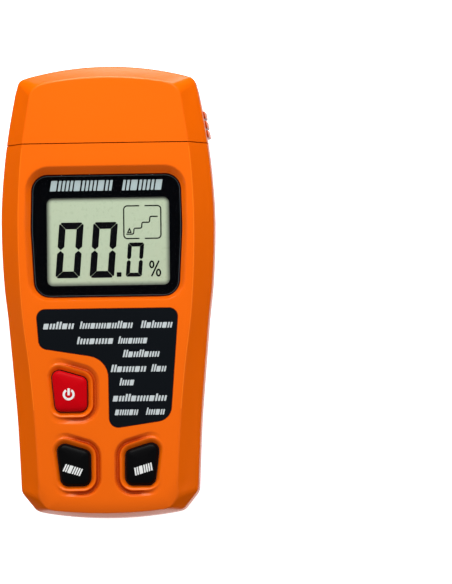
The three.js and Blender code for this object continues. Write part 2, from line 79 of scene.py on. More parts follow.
# The widest outline and the crease round the front face, as (y, half width).
OUTER_SIDE = [(-61, 27.1), (-49.4, 27.6), (-38.3, 28.2), (-27.3, 29.1), (-16.3, 30.05), (-8.9, 30.7),
              (2.1, 31.9), (9.5, 32.35), (17, 32.6), (24.2, 32.6), (31.6, 32.2), (38.9, 31.55),
              (45, 30.8), (50, 30.05), (57.3, 28.75), (66, 27)]
CREASE_SIDE = [(-65.6, 20.9), (-55.5, 21.3), (-38, 22.4), (-25, 23.6), (-7, 25.8), (5, 26.6), (16, 26.9),
               (30, 26.65), (42.6, 25.7), (54.3, 23.9), (58.6, 23.1), (64, 22)]
SIDE_BEVEL = 5.2
BACK_INSET = 5.3
FACE_CROWN = 0.3
# The crease at the foot as (y in the middle, sag, half width), and its corners as (x, y, radius).
CREASE_FOOT = (-68, 1.7, 22)
CREASE_CORNERS = [(18.9, -66.65, 4), (21.5, -62.9, 6)]
CREST_Z = FACE_Z - FACE_CROWN - 0.25
FOOT_DROP = 0.75
FOOT_ROLL = 4
# Where the painted highlight along the crease starts, along Y.
CREASE_HIGHLIGHT_FOOT = -36

# Corners of the flat outlines, each (x, y, radius), anticlockwise.
LENS = [(-22.1, -1.9, 5), (22.1, -1.9, 5), (23.2, 19, 60),
        (22.8, 35.6, 5), (-22.8, 35.6, 5), (-23.2, 19, 60)]
LABEL = [(0.6, -42.4, 2.8), (19.3, -39.7, 4.6), (21.9, -5.7, 2.6),
         (-21.6, -5.7, 2.6), (-20.7, -17.5, 2.8), (0.4, -21, 6.8)]
POWER_BUTTON = [(-15.8, -36.9, 2), (-6.2, -36.9, 2.2), (-6.2, -26.8, 2.2), (-17.2, -23.5, 2.2)]
MODE_BUTTON = [(-14.1, -59.4, 2.2), (-5.45, -59.4, 2.2), (-5.45, -49.2, 2.2), (-15.8, -46, 2.2)]
HOLD_BUTTON = [(-x, y, r) for x, y, r in reversed(MODE_BUTTON)]
WINDOW_OPENING = [(-18.35, 1.6), (19.25, 28.5)]
WINDOW_RADIUS = 1.9
DOOR_HALF = 15.7
DOOR_TOP = -7.3
RATING_LABEL = cad_box("rating_label")
CASE_SCREWS = [tuple(sum(cad_box(f"case_screw_{i}"))[:2] / 2) for i in range(1, 5)]


# ---------------------------------------------------------------- flat outlines
def unit(vector):
    return vector / max(np.linalg.norm(vector), 1e-9)


def corner_arc(before, corner, after, radius, steps):
    """The arc that rounds a corner between two straight sides, as steps + 1 points."""
    before, corner, after = (np.array(p, float) for p in (before, corner, after))
    into, out = unit(before - corner), unit(after - corner)
    half = math.acos(max(-1, min(1, into @ out))) / 2
    limit = 0.49 * min(np.linalg.norm(before - corner), np.linalg.norm(after - corner))
    reach = min(radius / math.tan(half), limit)
    middle = corner + unit(into + out) * reach / math.cos(half)
    start, end = corner + into * reach - middle, corner + out * reach - middle
    turn = math.pi - 2 * half
    t = np.linspace(0, 1, steps + 1)[:, None]
    return middle + (np.sin((1 - t) * turn) * start + np.sin(t * turn) * end) / math.sin(turn)


def rounded(corners, steps=8):
    """The closed polygon of corners (x, y, radius) with each corner rounded."""
    n = len(corners)
    at = [corners[i % n][:2] for i in range(-1, n + 1)]
    return np.vstack([corner_arc(at[i], at[i + 1], at[i + 2], corners[i][2], steps) for i in range(n)])


def grown(corners, amount):
    """The polygon with each side moved out by amount, or by amount(nx, ny) for outward normal n."""
    by = amount if callable(amount) else (lambda nx, ny: amount)
    n = len(corners)
    sides = []
    for (ax, ay, _), (bx, by_, _) in zip(corners, corners[1:] + corners[:1]):
        nx, ny = unit(np.array([by_ - ay, ax - bx]))
        sides.append((nx, ny, nx * ax + ny * ay + by(nx, ny), by(nx, ny)))
    out = []
    for i in range(n):
        (ax, ay, ao, move), (bx, by_, bo, _) = sides[i - 1], sides[i]
        cross = ax * by_ - ay * bx
        radius = max(0.3, corners[i][2] + math.copysign(1, cross) * move)
        out.append(((ao * by_ - bo * ay) / cross, (ax * bo - bx * ao) / cross, radius))
    return out


def resampled(points, pitch):
    """The closed polyline with no side longer than pitch."""
    out = []
    for a, b in zip(points, np.roll(points, -1, axis=0)):
        parts = max(1, math.ceil(np.linalg.norm(b - a) / pitch))
        out += [a + (b - a) * i / parts for i in range(parts)]
    return np.array(out)


def segment_distance(points, starts, ends):
    """Each point's distance to the nearest of the segments."""
    along = ends - starts
    length2 = np.maximum((along**2).sum(1), 1e-12)
    nearest = np.full(len(points), np.inf)
    for a, d, l2 in zip(starts, along, length2):
        t = np.clip(((points - a) @ d) / l2, 0, 1)
        nearest = np.minimum(nearest, np.hypot(*(points - a - t[:, None] * d).T))
    return nearest


def inside(points, polygon):
    x, y = points.T
    found = np.zeros(len(points), bool)
    for (ax, ay), (bx, by) in zip(polygon, np.roll(polygon, -1, axis=0)):
        if ay == by:
            continue
        crosses = (ay > y) != (by > y)
        found ^= crosses & (x < ax + (y - ay) * (bx - ax) / (by - ay))
    return found


def distance(points, polygon):
    """Distance outside the polygon, negative inside it."""
    far = segment_distance(points, polygon, np.roll(polygon, -1, axis=0))
    return np.where(inside(points, polygon), -far, far)


def smooth_curve(table, at):
    """The smooth curve through the table's places, at these places."""
    x, y = np.array(table, float).T
    slope = np.gradient(y, x)
    i = np.clip(np.searchsorted(x, at) - 1, 0, len(x) - 2)
    step = x[i + 1] - x[i]
    t = (at - x[i]) / step
    return ((2 * t**3 - 3 * t**2 + 1) * y[i] + (t**3 - 2 * t**2 + t) * step * slope[i]
            + (3 * t**2 - 2 * t**3) * y[i + 1] + (t**3 - t**2) * step * slope[i + 1])


# ---------------------------------------------------------------- the meter's outlines
class Outline:
    """One closed line round the meter. All outlines have matching points, so that strips can be lofted."""

    ARC, DOOR_ARC, CORNER, SIDE, CAP_SIDE, CAP_CORNER, CAP_ARC = 5, 8, 13, 90, 18, 10, 18

    def __init__(self, side, bottom, bottom_corners, foot, top, top_corner, head):
        self.side, self.bottom, self.corners, self.foot = side, bottom, bottom_corners, foot
        self.top, self.top_corner, self.head = top, top_corner, head

    def at(self, y):
        y = np.asarray(y, float)
        return np.stack([self.side(y), y], -1)

    def bottom_arc(self, x):
        middle, sag, half = self.bottom
        return np.stack([x, middle + sag * (x / half) ** 2], -1)

    def top_arc(self, x):
        middle, sag, half = self.top
        return np.stack([x, middle - sag * (x / half) ** 2], -1)

    def half_bottom(self, door_half=DOOR_HALF):
        """From the middle of the bottom edge round the corner to the foot of the side."""
        path = [self.bottom_arc(np.float64(door_half))] + [np.array(c[:2]) for c in self.corners]
        path.append(self.at(self.foot))
        steps = (self.CORNER - len(self.corners) + 1) // len(self.corners)
        turn = np.vstack([corner_arc(*path[i : i + 3], c[2], steps) for i, c in enumerate(self.corners)])
        x = np.concatenate([np.linspace(0, door_half, self.DOOR_ARC + 1),
                            np.linspace(door_half, turn[0, 0], self.ARC + 1)[1:-1]])
        return np.vstack([self.bottom_arc(x), turn])

    def housing(self, edge):
        """From the left end of the seam, round the bottom, to the right end."""
        side = self.at(np.linspace(self.foot, edge, self.SIDE))
        half = np.vstack([self.half_bottom(), side])
        return np.vstack([half[:0:-1] * (-1, 1), half])

    def cap(self, edge):
        """From the right end of the seam, round the top, to the left end."""
        side = self.at(np.linspace(edge, self.head, self.CAP_SIDE))
        reach = self.top_arc(np.float64(0.6 * self.top_corner[0]))
        turn = corner_arc(side[-1], self.top_corner[:2], reach, self.top_corner[2], self.CAP_CORNER)
        arc = self.top_arc(np.linspace(turn[-1, 0], 0, self.CAP_ARC + 1)[1:])
        half = np.vstack([side, turn, arc])
        return np.vstack([half, half[-2::-1] * (-1, 1)])


OUTER = Outline(
    lambda y: smooth_curve(OUTER_SIDE, y),
    (-HALF_LENGTH, 2.15, 22.4), [(22.4, -66.85, 3), (27.1, -61, 5)], -58.6,
    (HALF_LENGTH, 3.75, 26.5), (26.85, 65.15, 2.6), 61,
)
CREASE = Outline(
    lambda y: smooth_curve(CREASE_SIDE, y),
    CREASE_FOOT, CREASE_CORNERS, -60,
    (65.1, 1.7, 19), (22.6, 62.6, 5), 53,
)
BACK = Outline(
    lambda y: smooth_curve(OUTER_SIDE, y) - BACK_INSET,
    (-65.2, 1.9, 19), [(18.6, -63.2, 2.5), (21.9, -58.8, 3)], -56.2,
    (64.6, 2.9, 21.5), (21.5, 61.7, 3), 57.5,
)


def open_profile(corners, steps=8):
    """A profile through corners (inset, z, radius), rounded where a radius is given."""
    points = [np.array(corners[0][:2], float)]
    for before, corner, after in zip(corners, corners[1:], corners[2:]):
        points += list(corner_arc(before[:2], corner[:2], after[:2], corner[2], steps))
    points.append(np.array(corners[-1][:2], float))
    out = [points[0]]
    for a, b in zip(points, points[1:]):
        parts = max(1, math.ceil(np.linalg.norm(b - a) / 1.3))
        out += [a + (b - a) * i / parts for i in range(1, parts + 1)]
    return np.array(out)


def face_height(p):
    """The crowned front face, rolled off towards the foot, before its recesses."""
    x, y = p[..., 0], p[..., 1]
    middle, sag, half = CREASE_FOOT
    from_foot = y - middle - sag * (x / half) ** 2
    low, high = (np.array(corner[:2]) for corner in CREASE_CORNERS)
    along = unit(high - low)
    from_corner = along[0] * (y - low[1]) - along[1] * (np.abs(x) - low[0])
    roll = FOOT_DROP * np.clip(1 - np.minimum(from_foot, from_corner) / FOOT_ROLL, 0, 1) ** 2
    return FACE_Z - FACE_CROWN * (x / CREASE_SIDE[5][1]) ** 2 - roll


FRONT_PROFILE = [(0.1, FRONT_PART_Z), (0, 20.6, 2.4), (SIDE_BEVEL, FACE_Z - FACE_CROWN, 2),
                 (SIDE_BEVEL + 1, FACE_Z - FACE_CROWN)]
BACK_PROFILE = [(0.1, BACK_PART_Z), (1.2, 0, 4.2), (BACK_INSET + 0.7, 0)]


def front_rows(loop, part_z=FRONT_PART_Z):
    """Rows of the strip from the parting line over the bevel to the front face."""
    outer, crease = loop(OUTER), loop(CREASE)
    profile = open_profile([(FRONT_PROFILE[0][0], part_z)] + FRONT_PROFILE[1:])
    rows = []
    for inset, z in profile:
        share = inset / SIDE_BEVEL
        flat = outer + (crease - outer) * share
        blend = np.clip((share - 0.3) / 0.7, 0, 1) ** 2
        height = z + blend * (face_height(flat) - (FACE_Z - FACE_CROWN))
        rows.append(np.column_stack([flat, height]))
    return np.array(rows)


def back_rows(loop, part_z=BACK_PART_Z, level=None):
    """Rows of the strip from the parting line down round the back's edge; one of them at level."""
    outer, back = loop(OUTER), loop(BACK)
    profile = open_profile([(BACK_PROFILE[0][0], part_z)] + BACK_PROFILE[1:])
    if level is not None:
        inset = np.interp(level, profile[::-1, 1], profile[::-1, 0])
        place = int((profile[:, 1] > level).sum())
        profile = np.insert(profile, place, (inset, level), axis=0)
    return np.array([
        np.column_stack([outer + (back - outer) * inset / BACK_INSET, np.full(len(outer), z)])
        for inset, z in profile
    ])


# ---------------------------------------------------------------- skins
class Skin:
    """An open surface in millimetres that becomes a closed shell of even thickness."""

    def __init__(self):
        self.points, self.normals, self.faces, self.count = [], [], [], 0

    def add(self, points, normals, faces):
        self.points.append(points)
        self.normals.append(normals)
        self.faces += [tuple(self.count + i for i in face) for face in faces]
        self.count += len(points)

    def strip(self, rows, outward=1, keep=None):
        """A grid of points as quads; outward is -1 where the rows run downwards."""
        high, wide = rows.shape[:2]
        up, along = np.gradient(rows, axis=0), np.gradient(rows, axis=1)
        normals = np.cross(along, up) * outward
        normals /= np.maximum(np.linalg.norm(normals, axis=2, keepdims=True), 1e-9)
        faces = []
        for i in range(high - 1):
            for j in range(wide - 1):
                if keep is not None and not keep(rows[i : i + 2, j : j + 2].reshape(-1, 3)):
                    continue
                quad = [i * wide + j, i * wide + j + 1, (i + 1) * wide + j + 1, (i + 1) * wide + j]
                faces.append(quad if outward > 0 else quad[::-1])
        self.add(rows.reshape(-1, 3), normals.reshape(-1, 3), faces)

    def patch(self, boundary, height, holes=(), contours=(), pitch=1.6, up=1):
        """A triangulated sheet inside boundary, at height(points), facing up or down."""
        loops = [boundary, *holes, *contours]
        flat = np.vstack(loops)
        edges, start = [], 0
        for loop in loops:
            edges += [(start + i, start + (i + 1) % len(loop)) for i in range(len(loop))]
            start += len(loop)
        starts, ends = (flat[[e[k] for e in edges]] for k in (0, 1))
        grid = hexagonal_grid(boundary, pitch)
        grid = grid[inside(grid, boundary)]
        grid = grid[segment_distance(grid, starts, ends) > 0.55 * pitch]
        vertices = [Vector(p) for p in np.vstack([flat, grid])]
        made, _, triangles, *_ = delaunay_2d_cdt(vertices, edges, [], 0, 1e-6)
        made = np.array([tuple(v) for v in made])
        triangles = np.array([t for t in triangles])
        centre = made[triangles].mean(axis=1)
        wanted = inside(centre, boundary)
        for hole in holes:
            wanted &= ~inside(centre, hole)
        triangles = triangles[wanted]
        used, triangles = np.unique(triangles, return_inverse=True)
        made, triangles = made[used], triangles.reshape(-1, 3)
        a, b, c = made[triangles].transpose(1, 0, 2)
        clockwise = (b[:, 0] - a[:, 0]) * (c[:, 1] - a[:, 1]) < (b[:, 1] - a[:, 1]) * (c[:, 0] - a[:, 0])
        turned_over = clockwise == (up > 0)
        triangles[turned_over] = triangles[turned_over][:, ::-1]
        self.add(np.column_stack([made, height(made)]), slope_normals(height, made) * up,
                 [tuple(t) for t in triangles])

    def welded(self):
        points, normals = np.vstack(self.points), np.vstack(self.normals)
        _, first, index = np.unique(np.round(points, 3), axis=0, return_index=True, return_inverse=True)
        index = index.reshape(-1)
        last = np.zeros(len(first), int)
        last[index] = np.arange(len(points))
        faces = []
        for face in self.faces:
            ring = [index[i] for i in face]
            ring = [v for k, v in enumerate(ring) if v != ring[k - 1]]
            if len(ring) > 2:
                faces.append(tuple(int(v) for v in ring))
        return points[first], normals[last], faces

    def shell(self, wall):
        """Points, faces and smooth normals of the closed shell, wall thick towards the inside."""
        points, normals, faces = self.welded()
        used = sorted({v for face in faces for v in face})
        renumber = {v: i for i, v in enumerate(used)}
        points, normals = points[used], normals[used]
        faces = [tuple(renumber[v] for v in face) for face in faces]
        n = len(points)
        steep = np.abs(normals[:, 2]) < 0.97
        inward = np.where(steep[:, None], normals, np.sign(normals[:, 2:]) * (0, 0, 1))
        everything = np.vstack([points, points - wall * inward])
        edges = {(a, b) for face in faces for a, b in zip(face, face[1:] + face[:1])}
        rims = [(b, a, a + n, b + n) for a, b in edges if (b, a) not in edges]
        linings = [tuple(v + n for v in reversed(face)) for face in faces]
        return everything, faces + linings + rims, np.vstack([normals, -normals])


def hexagonal_grid(boundary, pitch):
    low, high = boundary.min(0), boundary.max(0)
    rows = []
    for k, y in enumerate(np.arange(low[1], high[1], pitch * 0.866)):
        x = np.arange(low[0] + (k % 2) * pitch / 2, high[0], pitch)
        rows.append(np.column_stack([x, np.full(len(x), y)]))
    return np.vstack(rows)


def slope_normals(height, points, step=0.03):
    """Upward normals of the surface z = height(points)."""
    dx, dy = np.array([step, 0]), np.array([0, step])
    slope_x = (height(points + dx) - height(points - dx)) / (2 * step)
    slope_y = (height(points + dy) - height(points - dy)) / (2 * step)
    normals = np.column_stack([-slope_x, -slope_y, np.ones(len(points))])
    return normals / np.linalg.norm(normals, axis=1, keepdims=True)


# ---------------------------------------------------------------- solids
def ring_faces(rings, count, closed=False):
    """Quads between each ring of count points and the next, and back to the first where closed."""
    faces = []
    for i in range(rings if closed else rings - 1):
        following = (i + 1) % rings
        for j in range(count):
            k = (j + 1) % count
            faces.append((i * count + j, i * count + k, following * count + k, following * count + j))
    return faces


def stacked(levels):
    """The points of level outlines [(z, points), ...]."""
    return np.vstack([np.column_stack([flat, np.full(len(flat), float(z))]) for z, flat in levels])


def turned(profile, sides=48):
    """Points and faces of a profile of (radius, height) turned about Z; a radius of 0 closes an end."""
    angle = np.arange(sides) * 2 * math.pi / sides
    points = np.array([(r * np.cos(a), r * np.sin(a), h) for r, h in profile for a in angle])
    return points, ring_faces(len(profile), sides)


def lofted(levels):
    """A closed solid over level outlines, lowest first, all with as many points."""
    count = len(levels[0][1])
    points = stacked(levels)
    ends = [tuple(reversed(range(count))), tuple(range(len(points) - count, len(points)))]
    return points, ring_faces(len(levels), count) + ends


def ring_wall(outer, inner, low, high):
    """The closed wall between two outlines with as many points each."""
    points = stacked([(low, outer), (high, outer), (high, inner), (low, inner)])
    return points, ring_faces(4, len(outer), closed=True)


def rounded_levels(outline, low, high, radius, steps=5):
    """Levels of a slab with a rounded upper edge and a flat top; outline(inset) gives its shape."""
    levels = [(low, outline(0)), (high - radius, outline(0))]
    for i in range(1, steps + 1):
        turn = math.pi / 2 * i / steps
        levels.append((high - radius + radius * math.sin(turn), outline(radius * (1 - math.cos(turn)))))
    levels.append((high, outline(1.5 * radius)))
    return levels


def bar(half_long, half_wide, radius):
    """The outline of a rounded bar that lies along X with its middle at the origin."""
    corners = ((-1, -1), (1, -1), (1, 1), (-1, 1))
    return rounded([(half_long * x, half_wide * y, radius) for x, y in corners])


class Assembly:
    """Closed solids gathered into one mesh."""

    def __init__(self):
        self.points, self.faces, self.normals, self.count = [], [], [], 0

    def add(self, points, faces, normals=None):
        self.points.append(np.asarray(points, float))
        blank = np.full((len(points), 3), np.nan)
        self.normals.append(blank if normals is None else normals)
        self.faces += [tuple(self.count + i for i in face) for face in faces]
        self.count += len(points)
        return self

    def moved(self, points, faces, matrix):
        return self.add([matrix @ Vector(p) for p in points], faces)

    def piece(self, name, body, material, slot=None, replaces=(), sharp=35):
        """The mesh as an object that rides on a body."""
        mesh = bpy.data.meshes.new(name)
        points, normals = np.vstack(self.points), np.vstack(self.normals)
        mesh.from_pydata((points * MM).tolist(), [], self.faces)
        outward(mesh)
        obj = bpy.data.objects.new(name, mesh)
        bpy.context.scene.collection.objects.link(obj)
        mesh.polygons.foreach_set("use_smooth", [True] * len(mesh.polygons))
        mesh.set_sharp_from_angle(angle=math.radians(sharp))
        if not np.isnan(normals).all():
            shade(mesh, normals)
        mesh.materials.append(material)
        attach(obj, body)
        if replaces:
            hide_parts(*replaces)
        return obj


def outward(mesh):
    """Turns the faces of each closed solid outward."""
    edit = bmesh.new()
    edit.from_mesh(mesh)
    bmesh.ops.recalc_face_normals(edit, faces=edit.faces)
    edit.to_mesh(mesh)
    edit.free()


def shade(mesh, normals, crisp=0.8):
    """Gives each face corner its vertex's smooth normal, or its own corner normal where that is far off."""
    found = np.zeros(len(mesh.loops) * 3)
    mesh.corner_normals.foreach_get("vector", found)
    found = found.reshape(-1, 3)
    vertex = np.zeros(len(mesh.loops), int)
    mesh.loops.foreach_get("vertex_index", vertex)
    flat = np.zeros(len(mesh.polygons) * 3)
    mesh.polygons.foreach_get("normal", flat)
    sizes = np.zeros(len(mesh.polygons), int)
    mesh.polygons.foreach_get("loop_total", sizes)
    flat = np.repeat(flat.reshape(-1, 3), sizes, axis=0)
    wanted = normals[vertex]
    close = (wanted * flat).sum(1) > crisp
    known = ~np.isnan(wanted[:, 0])
    corners = np.where((close & known)[:, None], wanted, np.where(known[:, None], flat, found))
    mesh.normals_split_custom_set(corners.tolist())


# ---------------------------------------------------------------- materials
class Tree:
    """The nodes and links of a material or a world."""

    def __init__(self, owner):
        owner.use_nodes = True
        self.nodes, self.links = owner.node_tree.nodes, owner.node_tree.links

    def feed(self, socket, value):
        """Gives an input a value, or another node's output."""
        if isinstance(value, bpy.types.NodeSocket):
            self.links.new(value, socket)
        else:
            socket.default_value = value

    def node(self, kind, **inputs):
        """A new node; an input's name has _ for each space."""
        node = self.nodes.new("ShaderNode" + kind)
        for key, value in inputs.items():
            self.feed(node.inputs[key.replace("_", " ")], value)
        return node

    def place(self, kind="Object"):
        return self.node("TexCoord").outputs[kind]

    def work_out(self, operation, first, second=0.0):
        node = self.node("Math")
        node.operation = operation
        self.feed(node.inputs[0], first)
        self.feed(node.inputs[1], second)
        return node.outputs["Value"]

    def ramp(self, source, given, wanted, kind="LINEAR"):
        """Maps the range given onto the range wanted."""
        remap = self.node("MapRange", Value=source, From_Min=given[0], From_Max=given[1],
                          To_Min=wanted[0], To_Max=wanted[1])
        remap.interpolation_type = kind
        return remap.outputs["Result"]

    def surface(self, factor, first, second):
        """Makes a material's surface a mix of two shaders."""
        mix = self.node("MixShader", Fac=factor)
        self.links.new(first.outputs["BSDF"], mix.inputs[1])
        self.links.new(second.outputs["BSDF"], mix.inputs[2])
        self.links.new(mix.outputs["Shader"], self.nodes["Material Output"].inputs["Surface"])


class Look(Tree):
    """A material and its main shader."""

    def __init__(self, name, color, roughness, metallic=0.0, **inputs):
        self.material = bpy.data.materials.new(name)
        super().__init__(self.material)
        self.shader = self.nodes["Principled BSDF"]
        self.set(Base_Color=(*color, 1), Roughness=roughness, Metallic=metallic, **inputs)

    def set(self, **inputs):
        for key, value in inputs.items():
            self.feed(self.shader.inputs[key.replace("_", " ")], value)

    def noise(self, scale, detail, stretch=(1, 1, 1)):
        """A noise texture in the object's own space; scale is in waves a metre."""
        mapping = self.node("Mapping", Vector=self.place(), Scale=stretch)
        texture = self.node("TexNoise", Vector=mapping.outputs["Vector"], Scale=scale, Detail=detail)
        return texture.outputs["Fac"]

    def spread(self, source, low, high):
        """Maps a texture's middle range onto low to high."""
        return self.ramp(source, (0.3, 0.7), (low, high))

    def blend(self, factor, first, second):
        """A mix of two colours; each is three numbers or an output."""
        mix = self.node("Mix")
        mix.data_type = "RGBA"
        for key, value in (("A", first), ("B", second)):
            self.feed(mix.inputs[key], value if isinstance(value, bpy.types.NodeSocket) else (*value, 1))
        self.feed(mix.inputs["Factor"], factor)
        return mix.outputs["Result"]

    def bands(self, source, first, second, kind="LINEAR"):
        """Two colours along the source, each given as (place, colour)."""
        layers = self.node("ValToRGB", Fac=source)
        layers.color_ramp.interpolation = kind
        for element, (position, color) in zip(layers.color_ramp.elements, (first, second)):
            element.position = position
            element.color = (*color, 1)
        return layers.outputs["Color"]

    def with_painted_shade(self, tone, shade_color):
        """The tone, with painted shade: darkened towards shade_color in the piece's own grooves and
        corners, by ambient occlusion.
        """
        open_sky = self.node("AmbientOcclusion", Distance=0.004)
        open_sky.samples = 8
        open_sky.only_local = True
        return self.blend(self.ramp(open_sky.outputs["AO"], (0.55, 0.98), (0, 1)), shade_color, tone)

    def bump(self, source, strength, depth):
        bump = self.node("Bump", Strength=strength, Distance=depth, Height=source)
        self.set(Normal=bump.outputs["Normal"])


def moulded(name, color, roughness, variation=0.06, grain=2600, grain_strength=0.12, shade_color=None,
            **inputs):
    """Moulded plastic: a fine grain, patches of slightly different gloss and faint colour drift, and
    painted shade in its grooves where shade_color is given.
    """
    look = Look(name, color, roughness, **inputs)
    darker, lighter = ([min(1, c * (1 + way * variation)) for c in color] for way in (-1, 1))
    tone = look.blend(look.spread(look.noise(24, 1), 0, 1), darker, lighter)
    if shade_color is not None:
        tone = look.with_painted_shade(tone, shade_color)
    gloss = look.spread(look.noise(150, 3), roughness - 0.02, roughness + 0.02)
    look.set(Base_Color=tone, Roughness=gloss)
    look.bump(look.noise(grain, 2), grain_strength, 0.00005)
    return look.material


def metal(name, color, roughness, stretch=(1, 1, 1)):
    """Metal with fine drawn or turned marks."""
    look = Look(name, color, roughness, 1.0)
    marks = look.noise(4000, 2, stretch)
    look.set(Roughness=look.spread(marks, roughness * 0.7, roughness * 1.3))
    look.bump(marks, 0.08, 0.00002)
    return look.material


def window_plastic():
    """Clear window: what is behind shows through, with a mirror's gloss on top at grazing angles."""
    material = bpy.data.materials.new("window_plastic")
    tree = Tree(material)
    tree.nodes.remove(tree.nodes["Principled BSDF"])
    clear = tree.node("BsdfTransparent", Color=(0.97, 0.98, 0.98, 1))
    gloss = tree.node("BsdfGlossy", Roughness=0.03)
    fresnel = tree.node("Fresnel", IOR=1.09)
    outside = tree.work_out("SUBTRACT", 1.0, tree.node("NewGeometry").outputs["Backfacing"])
    tree.surface(tree.work_out("MULTIPLY", fresnel.outputs["Fac"], outside), clear, gloss)
    return material


def lcd_material():
    """Grey-green liquid crystal glass, with a painted shadow: it darkens round the window's edge, where the
    mask's edge would shade it.
    """
    color, shaded = (0.5, 0.57, 0.405), (0.12, 0.13, 0.1)
    look = Look("lcd_glass", color, 0.3)
    parts = look.node("SeparateXYZ", Vector=look.place())
    turn, shadow = WINDOW_RADIUS * MM, 0.0016
    squares = []
    for axis, low, high in zip("XY", *WINDOW_OPENING):
        middle, half = (low + high) / 2 * MM, (high - low) / 2 * MM
        away = look.work_out("ABSOLUTE", look.work_out("SUBTRACT", parts.outputs[axis], middle))
        beyond = look.work_out("MAXIMUM", look.work_out("SUBTRACT", away, half - turn), 0.0)
        squares.append(look.work_out("POWER", beyond, 2.0))
    reach = look.work_out("SQRT", look.work_out("ADD", *squares))
    # Painted shadow of the mask's edge, fading in over a band round the window.
    shade_in = look.ramp(reach, (turn - shadow, turn + 0.0002), (0, 1), "SMOOTHSTEP")
    look.set(Base_Color=look.blend(shade_in, color, shaded),
             Roughness=look.spread(look.noise(900, 1), 0.26, 0.34))
    return look.material


def layered_rubber():
    """Black and pale layers, stacked along the strip."""
    dark, pale, pitch = (0.03, 0.03, 0.03), (0.5, 0.5, 0.48), 0.0004
    look = Look("layered_rubber", dark, 0.7)
    wave = look.node("TexWave", Vector=look.place(), Scale=1 / (pitch * 6.4))
    wave.bands_direction = "X"
    look.set(Base_Color=look.bands(wave.outputs["Fac"], (0.45, dark), (0.55, pale)))
    look.bump(look.noise(2500, 2), 0.1, 0.00004)
    return look.material


def board_material():
    """Green solder mask over fine copper tracks."""
    look = Look("solder_mask", (0.012, 0.14, 0.045), 0.3)
    tracks = look.node("TexBrick", Vector=look.place(), Scale=220, Mortar_Size=0.035,
                       Color1=(0.01, 0.13, 0.04, 1), Color2=(0.012, 0.15, 0.048, 1),
                       Mortar=(0.03, 0.26, 0.08, 1))
    look.set(Base_Color=tracks.outputs["Color"])
    look.bump(tracks.outputs["Fac"], 0.15, 0.00004)
    return look.material


def battery_material():
    """A battery's jacket: dark with a copper-coloured band towards its terminals."""
    dark, copper = (0.01, 0.01, 0.012), (0.45, 0.2, 0.06)
    look = Look("battery_jacket", dark, 0.3, 0.2)
    parts = look.node("SeparateXYZ", Vector=look.place())
    low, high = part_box("battery")
    along = look.ramp(parts.outputs["Y"], (low[1], high[1]), (0, 1))
    look.set(Base_Color=look.bands(along, (0, dark), (0.68, copper), "CONSTANT"))
    look.bump(look.noise(1500, 3), 0.06, 0.00004)
    return look.material


# The housing's orange has painted shade: deep red-orange in its own grooves, recesses and seams.
ORANGE = moulded("orange_plastic", (0.86, 0.13, 0.001), 0.25, 0.03, shade_color=(0.4, 0.022, 0.001),
                 Specular_IOR_Level=0.3, Specular_Tint=(1, 0.75, 0.5, 1))
RED = moulded("red_button_plastic", (0.55, 0.0, 0.004), 0.4, 0.08, Specular_IOR_Level=0.12,
              Specular_Tint=(1, 0.4, 0.4, 1))
BLACK_BUTTON = moulded("black_button_plastic", (0.0012, 0.0012, 0.0016), 0.4, 0.1, Specular_IOR_Level=0.07)
MASK = moulded("mask_film", (0.001, 0.0012, 0.002), 0.5, 0.05, grain_strength=0.02, Specular_IOR_Level=0.01)
LABEL_FILM = moulded("label_film", (0.003, 0.0045, 0.0065), 0.6, 0.08, 5200, 0.25, Specular_IOR_Level=0.05)
PRINT_WHITE = moulded("white_print", (0.8, 0.81, 0.8), 0.5, 0.02, 6000, 0.05)
PRINT_SILVER = moulded("silver_print", (0.52, 0.57, 0.58), 0.5, 0.04, 6000, 0.05)
PRINT_GREY = moulded("grey_print", (0.4, 0.48, 0.49), 0.5, 0.04, 6000, 0.05)
# Dark grey, a little lighter than the mask, for the painted highlight on the lens's edge.
RIM_HIGHLIGHT = moulded("painted_rim_highlight", (0.05, 0.055, 0.06), 0.3, 0.05, 6000, 0.05)
LCD = lcd_material()
LCD_SEGMENT = moulded("lcd_segment", (0.002, 0.002, 0.003), 0.4, 0.05, 7000, 0.02, Specular_IOR_Level=0.05)
WINDOW = window_plastic()
STEEL = metal("polished_steel", (0.62, 0.63, 0.65), 0.18, (1, 0.1, 1))
SCREW_STEEL = metal("plated_steel", (0.32, 0.32, 0.33), 0.35)
BRASS = metal("turned_brass", (0.6, 0.42, 0.12), 0.3, (1, 8, 1))
PAPER = moulded("silver_film", (0.5, 0.52, 0.54), 0.4, 0.03, 5000, 0.1)
FOAM = moulded("foam", (0.03, 0.03, 0.032), 0.95, 0.25, 1400, 0.9)
# Dark red-brown for the painted shade in the gaps round the buttons.
GAP_SHADE = moulded("painted_gap_shade", (0.02, 0.004, 0.002), 0.8, 0.1)
